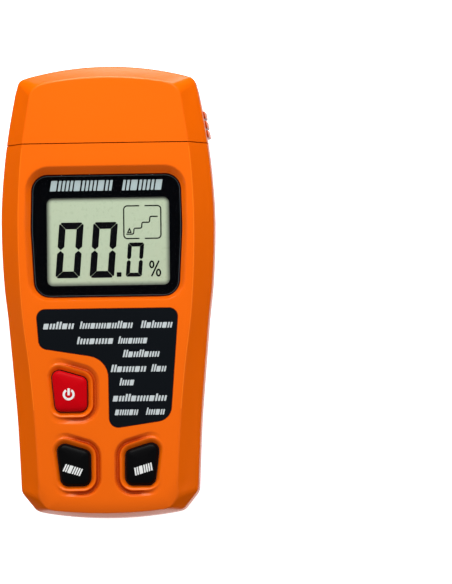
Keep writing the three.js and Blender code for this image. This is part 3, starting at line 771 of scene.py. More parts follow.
# Lighter orange for the painted highlight along the crease.
HIGHLIGHT_ORANGE = moulded("painted_highlight_orange", (1.0, 0.19, 0.004), 0.25, 0.03, Specular_IOR_Level=0.3,
                          Specular_Tint=(1, 0.75, 0.5, 1))
COMPONENT_BLACK = moulded("moulded_black", (0.012, 0.012, 0.013), 0.5, 0.1)
INSIDE = {
    "housing_plastic": ORANGE,
    "lens_plastic": WINDOW,
    "mask_ink": MASK,
    "lcd_glass": LCD,
    "frame_plastic": moulded("white_frame_plastic", (0.72, 0.72, 0.69), 0.45),
    "conductive_rubber": layered_rubber(),
    "board_laminate": board_material(),
    "component_black": COMPONENT_BLACK,
    "component_steel": metal("drawn_steel", (0.6, 0.6, 0.62), 0.3),
    "component_grey": moulded("grey_sleeve", (0.25, 0.26, 0.28), 0.4),
    "button_red": RED,
    "button_black": BLACK_BUTTON,
    "label_film": LABEL_FILM,
    "label_paper": PAPER,
    "electrode_steel": STEEL,
    "socket_brass": BRASS,
    "wire_white": moulded("white_wire", (0.75, 0.75, 0.73), 0.4),
    "wire_red": moulded("red_wire", (0.55, 0.01, 0.01), 0.4),
    "wire_black": moulded("black_wire", (0.01, 0.01, 0.01), 0.4),
    "battery_jacket": battery_material(),
    "foam": FOAM,
    "screw_steel": SCREW_STEEL,
}


# ---------------------------------------------------------------- front shell
def directional(top, bottom, side):
    return lambda nx, ny: top if ny > 0.7 else bottom if ny < -0.7 else side


SURROUND = grown(LENS, directional(2.4, 1.15, 1.75))
LENS_GAP = 0.12
LENS_FOOT, LENS_TOP = (cad_box("display_lens")[i][2] for i in (0, 1))
LENS_SEAT_Z = cad_box("lens_mask")[0][2] - 0.05
SURROUND_FOOT = LENS_TOP - 0.9
SURROUND_FADE = 1.6
SEAT = 1.6
LABEL_GAP = 0.16
LABEL_DEPTH = 0.3
STEP = 0.06
BUTTON_GAP = 0.34
RIM = 1.75
LIP_DEPTH = 1.1
DISH_DEPTH = 0.95
DISH_FADE = 8
HOLE_Z = 25
# Each button's corners, which way along X the meter's middle lies, and how far its dish reaches.
BUTTONS = {"power": (POWER_BUTTON, 1, 3.9), "mode": (MODE_BUTTON, 1, 3.6), "hold": (HOLD_BUTTON, -1, 3.6)}


def eased_ramp(t):
    """Rises with t and levels off at 1, with a soft bend between."""
    return 0.5 * (t + 1 - np.sqrt((t - 1) ** 2 + 0.008))


def window_recess(p, z):
    """The surround slopes from the face down beside the lens, and a ledge under the lens carries it."""
    outside_lens = distance(p, rounded(grown(LENS, LENS_GAP)))
    inside_surround = -distance(p, rounded(SURROUND))
    span = outside_lens + inside_surround
    reach = np.where(span > 0.01, np.maximum(outside_lens, 0) / np.maximum(span, 0.01), SURROUND_FADE)
    t = np.minimum(reach, SURROUND_FADE)
    share = eased_ramp(t) / eased_ramp(SURROUND_FADE)
    slope = SURROUND_FOOT + (z - SURROUND_FOOT) * np.clip(share, 0, 1)
    return np.where(outside_lens < -STEP / 2, LENS_SEAT_Z, slope)


def label_recess(p, z):
    return z - LABEL_DEPTH * (distance(p, rounded(grown(LABEL, LABEL_GAP))) < -STEP / 2)


def button_recess(p, z, corners, inner, reach):
    """A rounded rim that falls to the button, and outside it a dish that fades out away from inner."""
    out = distance(p, rounded(corners))
    left = min(c[0] * inner for c in corners)
    fade = np.clip((p[:, 0] * inner - left + 1.2) / DISH_FADE, 0, 1) ** 1.2
    dish = fade * DISH_DEPTH * np.interp(out, *np.array(dish_curve(reach)).T)
    lip = LIP_DEPTH * np.clip((RIM - out) / (RIM - BUTTON_GAP), 0, 1) ** 1.6
    z = z - dish - np.where(out > 0, lip, 0)
    return np.where(out < BUTTON_GAP - STEP / 2, HOLE_Z, z)


def dish_curve(reach):
    """The dish's cross-section as (distance from the button, share of its depth)."""
    return [(0, 0), (RIM, 0), (RIM + 0.15, 0.25), (RIM + 0.4, 0.85), (RIM + 0.65, 1), (RIM + 1, 0.98),
            (reach - 0.2, 0.12), (reach, 0.02), (reach + 0.25, 0)]


def front_height(p):
    z = window_recess(p, face_height(p))
    z = label_recess(p, z)
    for corners, inner, reach in BUTTONS.values():
        z = button_recess(p, z, corners, inner, reach)
    return z


def front_contours():
    """The lines that the front face bends along, and the holes through it."""
    offsets = [(SURROUND, (0.45, 0.15, -0.2, -0.6)), (LENS, (LENS_GAP + 0.3, LENS_GAP, LENS_GAP - STEP)),
               (LABEL, (LABEL_GAP, LABEL_GAP - STEP))]
    holes = [rounded(grown(LENS, -SEAT))]
    for corners, _, reach in BUTTONS.values():
        rim = tuple(BUTTON_GAP + (RIM - BUTTON_GAP) * share for share in (0, 0.15, 0.35, 0.6, 0.85))
        offsets.append((corners, rim + tuple(out for out, _ in dish_curve(reach)[1:])))
        holes.append(rounded(grown(corners, BUTTON_GAP - STEP)))
    contours = [rounded(grown(corners, by)) for corners, amounts in offsets for by in amounts]
    return [resampled(c, 0.9) for c in contours], [resampled(h, 0.9) for h in holes]


def closed_at_seam(row, pitch=1.0):
    """A strip's last row, closed by a straight line along the seam."""
    start, end = row[-1, :2], row[0, :2]
    parts = math.ceil(abs(end[0] - start[0]) / pitch)
    return np.vstack([row[:, :2], np.linspace(start, end, parts + 1)[1:-1]])


COLLAR_HALF, COLLAR_FLAT, COLLAR_SHOULDER = 27.3, 19.5, 50
COLLAR_FOOT = HOUSING_EDGE - 1.2
COLLAR_WALL, COLLAR_BEVEL = 1.6, 3.4
COLLAR_TAPER = 0.93
SNAP_RIB_Y, SNAP_RIB_HALF_LENGTH, SNAP_RIB_HALF_WIDTH = 48.65, 5.2, 1.05
SNAP_RIB_Z = (25, 25.8)


def collar_outline(inset, top_inset):
    half, shoulder = COLLAR_HALF - inset, COLLAR_SHOULDER - 0.5 * inset
    flat, top = COLLAR_FLAT - 0.4 * inset, COLLAR_TOP - top_inset
    return rounded([(-half, COLLAR_FOOT, 0.1), (half, COLLAR_FOOT, 0.1), (half, shoulder, 2.2),
                    (flat, top, 0.8), (-flat, top, 0.8), (-half, shoulder, 2.2)], 6)


def collar_half(part_z, face_z, corner_z):
    """Half of the hollow collar, from the parting line to its face, as a closed wall."""
    way = math.copysign(1, face_z - part_z)
    corners = [(0, part_z), (0, corner_z, 1.5), (COLLAR_BEVEL, face_z, 0.8), (COLLAR_BEVEL + 1.2, face_z)]
    profile = open_profile(corners, 5)
    outer, inner = ([(z - way * wall, collar_outline(inset + wall, COLLAR_TAPER * inset + wall))
                     for inset, z in profile] for wall in (0, COLLAR_WALL))
    inner[0] = (part_z, inner[0][1])
    chain = inner[::-1] + outer
    return lofted(chain if way > 0 else chain[::-1])


def snap_rib():
    """The rib on the collar that the cap clicks over."""
    def outline(d):
        return bar(SNAP_RIB_HALF_LENGTH - d, SNAP_RIB_HALF_WIDTH - d, 0.7) + (0, SNAP_RIB_Y)

    return lofted(rounded_levels(outline, *SNAP_RIB_Z, 0.4))


def seam_wall(rows, y, wall=1.1):
    """The wall that closes the housing behind the seam, in the shape of the strip's end."""
    right, left = rows[:, -1], rows[:, 0][::-1]
    section = np.vstack([right, left])[:, [0, 2]]
    middle = section.mean(0)
    section = middle + (section - middle) * (0.985, 0.975)
    front = np.column_stack([section[:, 0], np.full(len(section), y), section[:, 1]])
    back = front - (0, wall, 0)
    count = len(section)
    faces = [(i, (i + 1) % count, (i + 1) % count + count, i + count) for i in range(count)]
    faces += [tuple(reversed(range(count))), tuple(range(count, 2 * count))]
    if section[0, 1] > section[len(right) - 1, 1]:
        faces = [tuple(reversed(face)) for face in faces]
    return np.vstack([front, back]), faces


def front_shell():
    skin = Skin()
    rows = front_rows(lambda outline: outline.housing(HOUSING_EDGE))
    rows[-1, :, 2] = front_height(rows[-1, :, :2])
    skin.strip(rows)
    contours, holes = front_contours()
    skin.patch(closed_at_seam(rows[-1]), front_height, holes, contours)
    made = Assembly().add(*skin.shell(BODY_WALL))
    made.add(*collar_half(FRONT_PART_Z, 25.4, 21.4))
    made.add(*seam_wall(rows, HOUSING_EDGE - 0.02))
    made.add(*snap_rib())
    return made.piece("front_shell_moulding", "housing", ORANGE, "housing_plastic", ["front_shell"])


def crease_highlight(first, last):
    """A painted highlight along the housing's crease on both sides: a lighter orange strip between two
    places along Y.
    """
    made = Assembly()
    rows = front_rows(lambda outline: outline.housing(HOUSING_EDGE))
    crest = int(np.argmin(np.abs(rows[:, :, 2].mean(1) - CREST_Z)))
    for side in (-1, 1):
        along = (rows[0, :, 0] * side > 0) & (rows[0, :, 1] > first) & (rows[0, :, 1] < last)
        band = rows[crest : crest + 3, along] + (0, 0, 0.02)
        skin = Skin()
        skin.strip(band)
        made.add(*skin.shell(0.12))
    return made.piece("housing_crease_highlight", "housing", HIGHLIGHT_ORANGE, "housing_plastic")


# ---------------------------------------------------------------- cap
RIB_COUNT, FIRST_RIB, RIB_PITCH, RIB_Z = 3, 48.4, 2.9, 9.5
RIB_HALF_LENGTH, RIB_HALF_WIDTH, RIB_RISE = 5, 1.15, 0.4


def pin_cap():
    skin = Skin()

    def loop(outline):
        return outline.cap(CAP_EDGE)

    middle = (FRONT_PART_Z + BACK_PART_Z) / 2
    front, back = front_rows(loop, middle), back_rows(loop, middle)
    front[-1, :, 2] = face_height(front[-1, :, :2])
    skin.strip(front)
    skin.strip(back, -1)
    for rows, height, up in ((front, face_height, 1), (back, lambda p: np.zeros(len(p)), -1)):
        skin.patch(closed_at_seam(rows[-1]), height, up=up)
    made = Assembly().add(*skin.shell(CAP_WALL))
    for side in (1, -1):
        for i in range(RIB_COUNT):
            made.moved(*grip_rib(), rib_place(side, FIRST_RIB + RIB_PITCH * i))
    return made.piece("pin_cap_moulding", "cap", ORANGE, "housing_plastic", ["pin_cap"])


def grip_rib():
    def outline(d):
        return bar(RIB_HALF_LENGTH - d, RIB_HALF_WIDTH - d, 0.9)

    return lofted(rounded_levels(outline, -0.5, RIB_RISE, 0.3))


def rib_place(side, y):
    """Turns a rib so that it stands out of the side wall at y."""
    slope = math.atan((OUTER.at(y + 1)[0] - OUTER.at(y - 1)[0]) / 2)
    turn = Matrix.Rotation(-side * slope, 4, "Z") @ Matrix.Rotation(side * math.pi / 2, 4, "Y")
    return Matrix.Translation((side * OUTER.at(y)[0], y, RIB_Z)) @ turn


# ---------------------------------------------------------------- back shell and battery door
DOOR_GAP = DOOR_HALF - 15.4
DOOR_LOW, DOOR_HIGH = (cad_box("battery_door")[i][2] for i in (0, 1))
DOOR_SLOT_Z = DOOR_HIGH + DOOR_GAP
SCREW_HOLE = 2.8
SCREW_FLOOR = 4.25
SHANK_HOLE = 1.6
BOSS_TOP, BOSS_RADIUS, CUP_RADIUS = 12.8, 2.9, 3.9
PARTING_LIP_Z = (10.6, 15.6)
PARTING_LIP_SHARE = (0.27, 0.43)
BAY_LOW, BAY_HIGH, BAY_Z = (-13.7, -63.9), (13.7, -11), (1.45, 19.3)
BAY_WALL = 1.5
RATING_DEPTH = 0.35


def rectangle(low, high, radius, inset=0.0, steps=6):
    (x0, y0), (x1, y1) = np.array(low[:2]) + inset, np.array(high[:2]) - inset
    turn = max(radius - inset, 0.15)
    return rounded([(x0, y0, turn), (x1, y0, turn), (x1, y1, turn), (x0, y1, turn)], steps)


def circle(radius, middle=(0, 0), sides=32):
    angle = np.arange(sides) * 2 * math.pi / sides
    return np.column_stack([middle[0] + radius * np.cos(angle), middle[1] + radius * np.sin(angle)])


def rating_recess():
    return rectangle(RATING_LABEL[0], RATING_LABEL[1], 1.2, -0.25)


def back_height(p):
    return np.where(distance(p, rating_recess()) < -STEP / 2, RATING_DEPTH, 0.0)


def door_slot(foot, half, top, radius=1.6):
    """The sides and top of the battery door's slot, from its left foot to its right foot."""
    path = [(-half, foot), (-half, top), (half, top), (half, foot)]
    turns = [corner_arc(path[i], path[i + 1], path[i + 2], radius, 6) for i in (0, 1)]
    line = np.vstack([[path[0]], *turns, [path[3]]])
    pieces = [np.linspace(a, b, max(2, math.ceil(np.linalg.norm(b - a) / 1.4) + 1))[:-1]
              for a, b in zip(line, line[1:])]
    return np.vstack(pieces)[1:]


def back_boundary(row):
    """The flat back's edge, with the slot for the battery door cut out of it."""
    at_door = np.flatnonzero((np.abs(row[:, 0]) < DOOR_HALF - 0.01) & (row[:, 1] < DOOR_TOP))
    foot = row[at_door[0] - 1, 1]
    path = door_slot(foot, DOOR_HALF, DOOR_TOP)
    flat = np.vstack([row[: at_door[0], :2], path, row[at_door[-1] + 1 :, :2]])
    return closed_at_seam(flat)


def beside_door(quad):
    """False for the part of the rounded back edge that the battery door stands for."""
    low_part = (quad[:, 2].max() < DOOR_SLOT_Z + 0.01) and (quad[:, 1].max() < DOOR_TOP)
    return not (low_part and np.abs(quad[:, 0]).max() < DOOR_HALF + 0.01)


def screw_boss(x, y):
    """The cup that a case screw's head sits in, and the tube round its shank."""
    cup = SCREW_HOLE - 0.03
    profile = [(cup, 0.06), (cup, SCREW_FLOOR), (SHANK_HOLE, SCREW_FLOOR), (SHANK_HOLE, BOSS_TOP),
               (BOSS_RADIUS, BOSS_TOP), (CUP_RADIUS, SCREW_FLOOR + 1.2), (CUP_RADIUS, 0.9), (3.1, 0.06)]
    points, faces = turned(profile + profile[:1], 32)
    return points + (x, y, 0), faces


def parting_lip(edge=43.4):
    """The inner wall that shows through the gap between the two shells."""
    outer, back = OUTER.housing(edge), BACK.housing(edge)
    near, far = (closed_at_seam(outer + (back - outer) * share) for share in PARTING_LIP_SHARE)
    count = min(len(near), len(far))
    return ring_wall(near[:count], far[:count], *PARTING_LIP_Z)


def back_shell():
    skin = Skin()
    rows = back_rows(lambda outline: outline.housing(HOUSING_EDGE), level=DOOR_SLOT_Z)
    skin.strip(rows, -1, keep=beside_door)
    recess = rectangle(RATING_LABEL[0], RATING_LABEL[1], 1.2, STEP - 0.25)
    contours = [resampled(line, 1.2) for line in (rating_recess(), recess)]
    holes = [circle(SCREW_HOLE, place) for place in CASE_SCREWS]
    skin.patch(back_boundary(rows[-1]), back_height, holes, contours, up=-1)
    made = Assembly().add(*skin.shell(BACK_WALL))
    made.add(*collar_half(BACK_PART_Z, 2.6, 6.6))
    made.add(*seam_wall(rows, HOUSING_EDGE - 0.02))
    made.add(*parting_lip())
    for place in CASE_SCREWS:
        made.add(*screw_boss(*place))
    bay = [rectangle(BAY_LOW, BAY_HIGH, radius, inset) for radius, inset in ((2.5, -BAY_WALL), (1, 0))]
    made.add(*ring_wall(*bay, *BAY_Z))
    return made.piece("back_shell_moulding", "housing", ORANGE, "housing_plastic", ["back_shell"])


THUMB_REST = [(-8.5, -61.5, 4.4), (8.5, -61.5, 4.4), (8.5, -52.5, 4.4), (-8.5, -52.5, 4.4)]
THUMB_DEPTH = 0.8
THUMB_RIBS, FIRST_THUMB_RIB, THUMB_RIB_PITCH, THUMB_RIB_HALF = 4, -59.4, 1.6, (6, 0.4)
TONGUE_X, TONGUE_HALF, TONGUE_Y, TONGUE_Z = 9, 3, (-9.2, -6.2), (1.6, 2.6)


def door_height(p):
    into = np.clip(-distance(p, rounded(THUMB_REST)) / 0.9, 0, 1)
    return DOOR_LOW + THUMB_DEPTH * (3 * into**2 - 2 * into**3)


def battery_door():
    half = DOOR_HALF - DOOR_GAP
    across = np.linspace(-half, half, 41)
    rows = back_rows(lambda outline: outline.bottom_arc(across), level=DOOR_HIGH)
    rows = rows[rows[:, 0, 2] <= DOOR_HIGH + 0.001]
    rows[..., 2] = DOOR_LOW + rows[..., 2] * (1 - DOOR_LOW / DOOR_HIGH)
    skin = Skin()
    skin.strip(rows, -1)
    foot = rows[-1, 0, 1]
    path = door_slot(foot, half, DOOR_TOP - DOOR_GAP, 1.3)[::-1]
    contours = [resampled(rounded(grown(THUMB_REST, -inset)), 1) for inset in (0, 0.3, 0.6, 0.9)]
    skin.patch(np.vstack([rows[-1, :, :2], path]), door_height, contours=contours, up=-1)
    made = Assembly().add(*skin.shell(1.4))
    low, high = -np.array(THUMB_RIB_HALF), np.array(THUMB_RIB_HALF)
    points, faces = lofted(rounded_levels(lambda d: rectangle(low, high, 0.35, d), 0, 0.65, 0.3))
    for i in range(THUMB_RIBS):
        place = (0, FIRST_THUMB_RIB + THUMB_RIB_PITCH * i, DOOR_LOW + THUMB_DEPTH + 0.05)
        made.add(points * (1, 1, -1) + place, faces)
    for x in (-TONGUE_X, TONGUE_X):
        low, high = zip((x - TONGUE_HALF, x + TONGUE_HALF), TONGUE_Y)
        made.add(*lofted(rounded_levels(lambda d: rectangle(low, high, 0.6, d), *TONGUE_Z, 0.3)))
    return made.piece("battery_door_moulding", "door", ORANGE, "housing_plastic", ["battery_door"])


# ---------------------------------------------------------------- window, display and labels
MASK_LOW, MASK_HIGH = (cad_box("lens_mask")[i][2] for i in (0, 1))
LCD_BOX = cad_box("lcd_panel")


def display_window():
    levels = rounded_levels(lambda d: rounded(grown(LENS, -d - 0.02)), LENS_FOOT, LENS_TOP, 0.45)
    made = Assembly().add(*lofted(levels))
    return made.piece("display_window", "housing", WINDOW, "lens_plastic", ["display_lens"])


def display_mask():
    skin = Skin()
    hole = resampled(rectangle(*WINDOW_OPENING, WINDOW_RADIUS), 2)
    skin.patch(resampled(rounded(grown(LENS, -0.05)), 2), level(MASK_HIGH), [hole], pitch=4)
    made = Assembly().add(*skin.shell(MASK_HIGH - MASK_LOW))
    return made.piece("display_mask", "housing", MASK, "mask_ink", ["lens_mask"])


def lcd_glass_panel():
    low, high = LCD_BOX
    slab = rounded_levels(lambda d: rectangle(low, high, 0.4, d), low[2], high[2], 0.1, 2)
    made = Assembly().add(*lofted(slab))
    return made.piece("lcd_glass_panel", "housing", LCD, "lcd_glass", ["lcd_panel"])


def stroke(points, width):
    """The outline of a line of even width along the points."""
    points = np.array(points, float)
    ways = np.gradient(points, axis=0)
    ways /= np.linalg.norm(ways, axis=1, keepdims=True)
    side = np.column_stack([-ways[:, 1], ways[:, 0]]) * width / 2
    return np.vstack([points - side, (points + side)[::-1]])


def bent_line(corners, radius, steps=5):
    """An open line through corners, each inner one rounded."""
    corners = [np.array(c, float) for c in corners]
    turns = [corner_arc(a, b, c, radius, steps) for a, b, c in zip(corners, corners[1:], corners[2:])]
    return np.vstack([[corners[0]], *turns, [corners[-1]]])


class Print(Assembly):
    """Thin printed shapes lying on a surface z = height(points)."""

    def __init__(self, height, rise=0.03, sink=0.02):
        super().__init__()
        self.height, self.rise, self.sink = height, rise, sink

    def shape(self, outline):
        outline = np.asarray(outline, float)
        points, faces = lofted([(0, outline), (0, outline)])
        z = self.height(outline)
        points[:, 2] = np.concatenate([z - self.sink, z + self.rise])
        return self.add(points, faces)

    def loop(self, outer, inner):
        points, faces = ring_wall(outer, inner, 0, 1)
        z = self.height(points[:, :2])
        points[:, 2] = z + np.where(points[:, 2] > 0.5, self.rise, -self.sink)
        return self.add(points, faces)


def level(z):
    return lambda p: np.full(len(p), float(z))


DIGIT_SLANT = math.tan(math.radians(4.6))
DIGIT_GAP = 0.03
# Each digit's (x, y, width, height, thickness of its bars).
DIGITS = [(-15.85, 4, 7.5, 17, 2.05), (-5.4, 4, 7.5, 17, 2.05), (5.7, 4.2, 4.9, 10.4, 1.2)]
DECIMAL_POINT = ((2.95, 4.2), (4.4, 5.6))
PERCENT_RINGS, PERCENT_BAR = [(13.7, 7.85), (15.75, 5.3)], [(13.6, 4.2), (15.9, 8.95)]
GRAPH_LEFT, GRAPH_RIGHT, GRAPH_LOW, GRAPH_HIGH = 5.25, 16.6, 15.85, 25.85
GRAPH_GAP = (10, 11.65)
GRAPH_LINE = 0.38
STEP_START, STEP_WIDE, STEP_TALL, STEP_COUNT = (6, 17.2), 2.45, 1.78, 4
HEADER_BASE, HEADER_HEIGHT = 30.6, 3.2


def seven_segment_zero(width, height, stroke_width, gap):
    """The six lit bars of a zero, leaning to the right, with its foot at the origin."""
    w, h, t, g = width, height, stroke_width, gap
    turn = 0.15 * t
    top = [(g, h, turn), (t + g, h - t, 0.02), (w - t - g, h - t, 0.02), (w - g, h, turn)]
    upper = [(0, h - g, turn), (0, h / 2 + 0.5 * t, 0.05), (0.5 * t, h / 2 + 0.06 * t, 0.02),
             (t, h / 2 + 0.5 * t, 0.05), (t, h - t - g, 0.02)]
    quarter = [top, upper, [(w - x, y, r) for x, y, r in reversed(upper)]]
    whole = quarter + [[(x, h - y, r) for x, y, r in reversed(corners)] for corners in quarter]
    for corners in whole:
        flat = rounded(corners, 3)
        yield flat + np.column_stack([flat[:, 1] * DIGIT_SLANT, np.zeros(len(flat))])


def ellipse(middle, half_wide, half_high, sides=28):
    return circle(1, sides=sides) * (half_wide, half_high) + middle


def display_digits():
    marks = Print(level(LCD_BOX[1][2]))
    for x, y, width, height, thick in DIGITS:
        for segment in seven_segment_zero(width, height, thick, DIGIT_GAP * thick):
            marks.shape(segment + (x, y))
    marks.shape(rectangle(*DECIMAL_POINT, 0.2))
    for middle in PERCENT_RINGS:
        marks.loop(ellipse(middle, 0.82, 1.22), ellipse(middle, 0.32, 0.7))
    marks.shape(stroke(PERCENT_BAR, 0.48))
    return marks.piece("display_digits", "housing", LCD_SEGMENT, "component_black")


def display_graph():
    marks = Print(level(LCD_BOX[1][2]))
    for end, side in zip(GRAPH_GAP, (GRAPH_LEFT, GRAPH_RIGHT)):
        frame_line = [(end, GRAPH_LOW), (side, GRAPH_LOW), (side, GRAPH_HIGH), (end, GRAPH_HIGH)]
        marks.shape(stroke(bent_line(frame_line, 1.1), GRAPH_LINE))
    steps = [STEP_START]
    for i in range(STEP_COUNT - 1):
        x, y = STEP_START[0] + 2.25 + STEP_WIDE * i, STEP_START[1] + STEP_TALL * i
        steps += [(x, y), (x + 0.1, y + STEP_TALL)]
    steps.append((x + STEP_WIDE + 0.05, y + STEP_TALL))
    marks.shape(stroke(bent_line(steps, 0.5, 4), GRAPH_LINE))
    triangle = [(6.15, 17.55, 0.1), (7.7, 17.55, 0.1), (7, 19.3, 0.1)]
    marks.loop(rounded(triangle, 3), rounded(grown(triangle, -0.3), 3))
    return marks.piece("display_graph", "housing", LCD_SEGMENT, "component_black")


def block_word(marks, start, end, base, letters, cap, body, lean=0.22, turn=0.0, first=0):
    """A greeked word: a row of small leaning strokes and blocks that stand for no letter."""
    pitch = (end - start) / letters
    middle = np.array([(start + end) / 2, base + cap / 2])
    spin = np.array([[math.cos(turn), -math.sin(turn)], [math.sin(turn), math.cos(turn)]])
    for i in range(letters):
        tall = cap if (i == 0 or (i * 3 + first) % 5 == 1) else body
        shapes = [[(0, 0.32, tall), (0.5, 0.82, tall)], [(0, 0.32, tall), (0.5, 0.82, body)],
                  [(0, 0.78, body)]]
        for begin, stop, top in shapes[(i * 2 + letters + first) % 3]:
            low, high = (start + pitch * (i + begin), base), (start + pitch * (i + stop), base + top)
            flat = rectangle(low, high, 0.12, steps=2)
            flat = flat + np.column_stack([(flat[:, 1] - base) * lean, np.zeros(len(flat))])
            marks.shape((flat - middle) @ spin.T + middle)


def header_print():
    marks = Print(level(MASK_HIGH))
    for first, (start, end, letters) in enumerate([(-17.3, 2, 8), (4.8, 17.3, 5)]):
        block_word(marks, start, end, HEADER_BASE, letters, HEADER_HEIGHT, HEADER_HEIGHT, 0.16, first=first)
    marks.piece("header_print", "housing", PRINT_GREY, "label_paper")
    # A painted highlight: a thin grey ring on the mask just inside the lens's edge.
    rim = Print(level(MASK_HIGH))
    rim.loop(rounded(grown(LENS, -0.36)), rounded(grown(LENS, -0.54)))
    return rim.piece("window_rim_highlight", "housing", RIM_HIGHLIGHT, "mask_ink")


# Each row's foot along Y, and its words as (start, end, letters).
LABEL_ROWS = [
    (-11.75, [(-19.5, -9.9, 5), (-8.3, 8, 10), (10.4, 20.1, 6)]),
    (-16.45, [(-9.2, 2.1, 6), (3.4, 12.4, 6)]),
    (-20.6, [(4.8, 16.1, 7)]),
    (-25.1, [(1.1, 12, 6), (13.4, 18.1, 3)]),
    (-29.2, [(3.7, 8.3, 3)]),
    (-34.05, [(1.6, 18.2, 9)]),
    (-38.25, [(2.2, 9.4, 5), (11.7, 17.5, 4)]),
]
LABEL_CAPITAL, LABEL_SMALL = 2.25, 1.7
BAR_ENDS, BAR_START_Y, BAR_PITCH, BAR_HEIGHT = [(-9, 16), (-4, 16), (-12, 16), (2, 16)], 24.6, 5.6, 1.8


def label_height(p):
    return face_height(p) - 0.1


def species_label():
    skin = Skin()
    skin.patch(resampled(rounded(LABEL), 1.5), label_height, pitch=2.5)
    made = Assembly().add(*skin.shell(0.19))
    made.piece("species_label_film", "housing", LABEL_FILM, "label_film", ["species_label"])
    marks = Print(label_height, rise=0.02)
    for row, (base, words) in enumerate(LABEL_ROWS):
        for start, end, letters in words:
            block_word(marks, start, end, base, letters, LABEL_CAPITAL, LABEL_SMALL, first=row)
    return marks.piece("species_label_print", "housing", PRINT_SILVER, "label_paper")


def rating_label():
    low, high = RATING_LABEL
    slab = rounded_levels(lambda d: rectangle(low, high, 1, d), 0, RATING_DEPTH - low[2] + 0.01, 0.06, 2)
    points, faces = lofted(slab)
    made = Assembly().add(points * (1, 1, -1) + (0, 0, RATING_DEPTH + 0.01), faces)
    made.piece("rating_label_film", "housing", PAPER, "label_paper", ["rating_label"])
    marks = Print(level(low[2]), rise=0.02, sink=0.02)
    for i, (start, end) in enumerate(BAR_ENDS):
        y = BAR_START_Y - BAR_PITCH * i
        marks.shape(rectangle((start, y), (end, y + BAR_HEIGHT), 0.3))
    marks.loop(circle(2.2, (-13.5, 24.3)), circle(1.6, (-13.5, 24.3)))
    return marks.piece("rating_label_print", "housing", MASK, "mask_ink")


# ---------------------------------------------------------------- buttons
BUTTON_TOP = cad_box("power_button")[1][2]
BUTTON_FLANGE = cad_box("power_button")[0][2]
FLANGE_REACH, FLANGE_HEIGHT = 0.85, 0.7
# Top and height of each ring of painted shade in a button's gap.
GAP_SHADE_TOP, GAP_SHADE_HEIGHT = 26.6, 1.2
# How far in from a button's side its rounded edge and crowned top have risen by how much.
BUTTON_EDGE = [(0, 0), (0.05, 0.35), (0.2, 0.68), (0.45, 0.93), (0.8, 1.1), (1.4, 1.25), (2.2, 1.37),
               (3, 1.45), (3.8, 1.5)]
BUTTON_SIDE_TOP = BUTTON_TOP - BUTTON_EDGE[-1][1]
POWER_MARK, POWER_RING_RADIUS, POWER_RING_GAP = np.array([-11.7, -31.75]), 1.47, 33
WORD_X, WORD_REACH, WORD_HALF = 0.07, 10.78, 2.9
WORD_BASE, WORD_HEIGHT, WORD_TURN = -56, 2.4, math.radians(17)


def button(name, corners, body, material, slot):
    """A flanged key with a softly rounded edge and a crowned top."""
    flange = rounded(grown(corners, FLANGE_REACH))
    levels = [(BUTTON_FLANGE, flange), (BUTTON_FLANGE + FLANGE_HEIGHT, flange),
              (BUTTON_FLANGE + FLANGE_HEIGHT + 0.08, rounded(corners))]
    for inset, rise in BUTTON_EDGE:
        levels.append((BUTTON_SIDE_TOP + rise, rounded(grown(corners, -inset))))
    made = Assembly().add(*lofted(levels))
    return made.piece(name + "_key", body, material, slot, [name + "_button"], sharp=50)


def on_button(corners):
    """The crowned top that marks are printed on."""
    edge = rounded(corners)
    inset, rise = zip(*BUTTON_EDGE)
    return lambda p: BUTTON_SIDE_TOP + np.interp(-distance(p, edge), inset, rise)


def button_gap_shade(name, corners):
    """A dark ring at the foot of the gap round a button: painted shade deep in the gap."""
    outer, inner = rounded(grown(corners, BUTTON_GAP - 0.02)), rounded(grown(corners, 0.05))
    made = Assembly().add(*ring_wall(outer, inner, GAP_SHADE_TOP - GAP_SHADE_HEIGHT, GAP_SHADE_TOP))
    return made.piece(name + "_gap_shade", "housing", GAP_SHADE, "conductive_rubber")


def power_mark():
    marks = Print(on_button(POWER_BUTTON), sink=0.06)
    angle = np.radians(np.linspace(90 + POWER_RING_GAP, 450 - POWER_RING_GAP, 40))
    ring = POWER_RING_RADIUS * np.column_stack([np.cos(angle), np.sin(angle)])
    marks.shape(stroke(POWER_MARK + ring, 0.7))
    marks.shape(rectangle(POWER_MARK + (-0.36, -0.3), POWER_MARK + (0.36, 1.85), 0.1, steps=3))
    return marks.piece("power_mark", "power_key", PRINT_WHITE, "label_paper")


def word_mark(name, corners, body, side):
    marks = Print(on_button(corners), rise=0.06, sink=0.1)
    x = WORD_X - WORD_REACH * side
    block_word(marks, x - WORD_HALF, x + WORD_HALF, WORD_BASE, 4, WORD_HEIGHT, WORD_HEIGHT, 0.15,
               -side * WORD_TURN, first=2)
    return marks.piece(name, body, PRINT_WHITE, "label_paper")


# ---------------------------------------------------------------- electrodes and screws
def along_y(low, high):
    """Turns a solid made along Z so that it lies along Y through the middle of a box."""
    x, _, z = (low + high) / 2
    return Matrix.Translation((x, 0, z)) @ Matrix.Rotation(-math.pi / 2, 4, "X")


THREAD_FOOT, THREAD_PITCH, THREAD_COUNT, THREAD_RADIUS = 53.6, 0.55, 10, 1.15
ELECTRODE_SHOULDER = 59.5
NUT_HOLE = 1.3


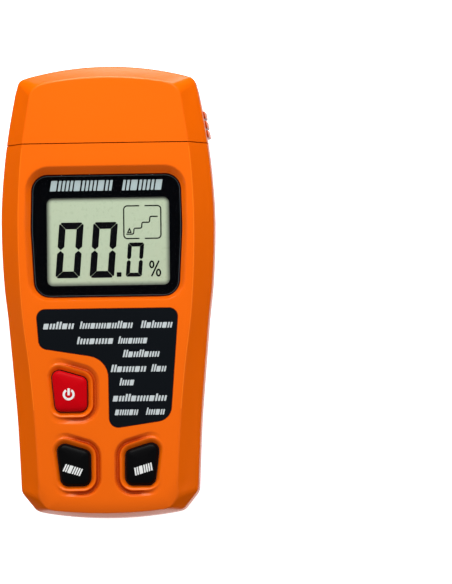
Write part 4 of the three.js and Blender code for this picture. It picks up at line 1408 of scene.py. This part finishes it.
def electrode(name, replaced):
    """A pin with fine rings for its thread, a shoulder and a tapering point."""
    low, high = cad_box(replaced)
    foot, tip = low[1], high[1]
    profile = [(0, foot), (1.1, foot), (1.25, foot + 0.15)]
    for i in range(THREAD_COUNT):
        y = THREAD_FOOT + THREAD_PITCH * i
        crest, root = THREAD_RADIUS, THREAD_RADIUS - 0.08
        profile += [(crest, y), (crest, y + 0.15), (root, y + 0.27), (root, y + 0.4)]
    profile += [(THREAD_RADIUS, ELECTRODE_SHOULDER - 0.3), (THREAD_RADIUS, ELECTRODE_SHOULDER),
                (1.0, ELECTRODE_SHOULDER + 0.55), (0.32, tip - 0.55), (0.2, tip - 0.15), (0, tip)]
    made = Assembly().moved(*turned(profile, 40), along_y(low, high))
    return made.piece(name, "housing", STEEL, "electrode_steel", [replaced], sharp=40)


def hexagon(across):
    """A nut's outline, its points in order round the axis."""
    reach = across / math.sqrt(3)
    angle = np.radians(60 * np.arange(6) + 30)
    flat = rounded([(reach * math.cos(a), reach * math.sin(a), 0.15) for a in angle], 4)
    return flat[np.argsort(np.arctan2(flat[:, 1], flat[:, 0]) % (2 * math.pi))]


def electrode_nut(name, replaced):
    low, high = cad_box(replaced)
    across = high[0] - low[0]
    bottom, top = low[1], high[1]
    sides = hexagon(across)
    disc = circle(across / 2 * 0.97, sides=len(sides))
    hole = circle(NUT_HOLE, sides=len(sides))
    levels = [(bottom, hole), (bottom, disc), (bottom + 0.2, sides), (top - 0.45, sides),
              (top - 0.12, disc), (top, disc * 0.8), (top, hole)]
    faces = ring_faces(len(levels), len(hole), closed=True)
    made = Assembly().moved(stacked(levels), faces, along_y(low, high))
    return made.piece(name, "housing", STEEL, "electrode_steel", [replaced])


CROSS_REACH, CROSS_WIDTH, CROSS_DEPTH = 1.45, 0.62, 1
SHANK_RADIUS = 1.35


def cross_outline():
    w, r = CROSS_WIDTH / 2, CROSS_REACH
    arm = [(r, -w), (r, w), (w, w)]
    corners = []
    for _ in range(4):
        corners += arm
        arm = [(-y, x) for x, y in arm]
    return rounded([(x, y, 0.12) for x, y in corners], 3)


def case_screw(i):
    """A pan head with a cross recess, facing down, on a plain shank."""
    node = f"case_screw_{i + 1}"
    low, high = cad_box(node)
    head = (high[0] - low[0]) / 2
    cross = cross_outline()
    start = math.atan2(cross[0, 1], cross[0, 0])
    ring = circle(1, sides=len(cross))
    ring = ring @ np.array([[math.cos(start), math.sin(start)], [-math.sin(start), math.cos(start)]])
    top = -low[2]
    levels = [(-high[2], ring * 0.9), (-high[2] + 1, ring * SHANK_RADIUS), (top - 2, ring * SHANK_RADIUS),
              (top - 1.98, ring * head), (top - 0.7, ring * head), (top - 0.25, ring * 0.85 * head),
              (top - 0.02, ring * 0.66 * head), (top, cross * 1.03), (top - 0.08, cross),
              (top - CROSS_DEPTH, cross * 0.7)]
    points, faces = lofted(levels)
    made = Assembly().add(points * (1, 1, -1) + (*CASE_SCREWS[i], 0), faces)
    return made.piece(node + "_cross_head", "housing", SCREW_STEEL, "screw_steel", [node])


front_shell()
back_shell()
pin_cap()
crease_highlight(CREASE_HIGHLIGHT_FOOT, HOUSING_EDGE)
battery_door()
display_window()
display_mask()
lcd_glass_panel()
display_digits()
display_graph()
header_print()
species_label()
rating_label()
button("power", POWER_BUTTON, "power_key", RED, "button_red")
button("mode", MODE_BUTTON, "mode_key", BLACK_BUTTON, "button_black")
button("hold", HOLD_BUTTON, "hold_key", BLACK_BUTTON, "button_black")
for key, (key_corners, _, _) in BUTTONS.items():
    button_gap_shade(key, key_corners)
power_mark()
word_mark("mode_mark", MODE_BUTTON, "mode_key", 1)
word_mark("hold_mark", HOLD_BUTTON, "hold_key", -1)
for side_name in ("right", "left"):
    electrode("electrode_" + side_name, "pin_" + side_name)
    electrode_nut("hexagon_nut_" + side_name, "pin_nut_" + side_name)
for screw in range(4):
    case_screw(screw)
for node, obj in frame["nodes"].items():
    slot_name = next(part["material_slot"] for part in frame["record"]["subparts"] if part["node"] == node)
    for material_slot in obj.material_slots:
        material_slot.material = INSIDE[slot_name]

# ---------------------------------------------------------------- floor, light and camera
FLOOR_GLOW = 0.82
FLOOR_SIZE, FLOOR_Z = 30, -0.00002
CAMERA_AIM, CAMERA_DISTANCE, FRAME_HEIGHT = Vector((0.03599, -0.00064, 0.02)), 2.98, 0.1782
CAMERA_TO_RIGHT, CAMERA_TO_FOOT, CAMERA_ROLL = math.radians(4.1), math.radians(3.8), -0.0125


def stage():
    """A pale floor, seen through from below so that the back can be looked at."""
    bpy.ops.mesh.primitive_plane_add(size=FLOOR_SIZE, location=(0, 0, FLOOR_Z))
    floor = bpy.context.object
    floor.name = "floor"
    look = Look("floor_white", (0.9, 0.9, 0.9), 0.9, Specular_IOR_Level=0.1,
                Emission_Color=(1, 1, 1, 1), Emission_Strength=FLOOR_GLOW)
    from_below = look.node("NewGeometry").outputs["Backfacing"]
    look.surface(from_below, look.shader, look.node("BsdfTransparent"))
    floor.data.materials.append(look.material)
    floor.visible_diffuse = False
    floor.visible_glossy = False
    floor.visible_shadow = False


def area_light(name, place, size, power, target=(0, 0, 0.02), spread_angle=180, mirrored=True):
    """A soft panel of light aimed at a target; mirrored is False where gloss isn't to show it."""
    data = bpy.data.lights.new(name, "AREA")
    data.shape = "RECTANGLE"
    data.spread = math.radians(spread_angle)
    data.size, data.size_y = size
    data.energy = power
    light = bpy.data.objects.new(name, data)
    light.location = place
    light.rotation_euler = (Vector(target) - Vector(place)).to_track_quat("-Z", "Y").to_euler()
    light.visible_camera = False
    light.visible_glossy = mirrored
    bpy.context.scene.collection.objects.link(light)


def lights():
    area_light("key", (0.0, 0.34, 0.29), (0.45, 0.2), 2.1)
    for side in (-1, 1):
        area_light("side_fill", (0.6 * side, 0.0, 0.3), (0.08, 0.65), 1.0, mirrored=False)
        area_light("side_under_fill", (0.45 * side, 0.0, -0.4), (0.3, 0.3), 1.0, mirrored=False)
    area_light("foot_under_fill", (0.0, -0.45, -0.4), (0.3, 0.3), 1.4, mirrored=False)
    area_light("top_glow", (0.0, 0.301, -0.063), (0.2, 0.14), 0.085, (0.0, 0.067, 0.024), spread_angle=60)


def surroundings():
    """Soft light from above, darkness round the horizon, and a white patch straight below."""
    world = bpy.data.worlds.new("studio")
    bpy.context.scene.world = world
    tree = Tree(world)
    height = tree.node("SeparateXYZ", Vector=tree.place("Generated")).outputs["Z"]
    below, above = tree.ramp(height, (-0.75, -0.96), (0, 0.85)), tree.ramp(height, (-0.1, 0.15), (0, 0.38))
    background = tree.nodes["Background"]
    tree.feed(background.inputs["Color"], (1, 1, 1, 1))
    tree.feed(background.inputs["Strength"], tree.work_out("MAXIMUM", below, above))


def camera():
    """A long lens that looks down at the display face, tipped a little to the right and to the foot."""
    back = Vector((math.tan(CAMERA_TO_RIGHT), -math.tan(CAMERA_TO_FOOT), 1)).normalized()
    data = bpy.data.cameras.new("camera")
    data.sensor_width = 36
    data.lens = data.sensor_width / FRAME_HEIGHT * CAMERA_DISTANCE
    data.clip_end = 50
    cam = bpy.data.objects.new("camera", data)
    cam.location = CAMERA_AIM + back * CAMERA_DISTANCE
    tip = Vector((0, 0, 1)).rotation_difference(back).to_matrix()
    cam.rotation_euler = (tip @ Matrix.Rotation(CAMERA_ROLL, 3, "Z")).to_euler()
    bpy.context.scene.collection.objects.link(cam)
    bpy.context.scene.camera = cam


stage()
lights()
surroundings()
camera()
bpy.context.scene.view_settings.view_transform = "Standard"
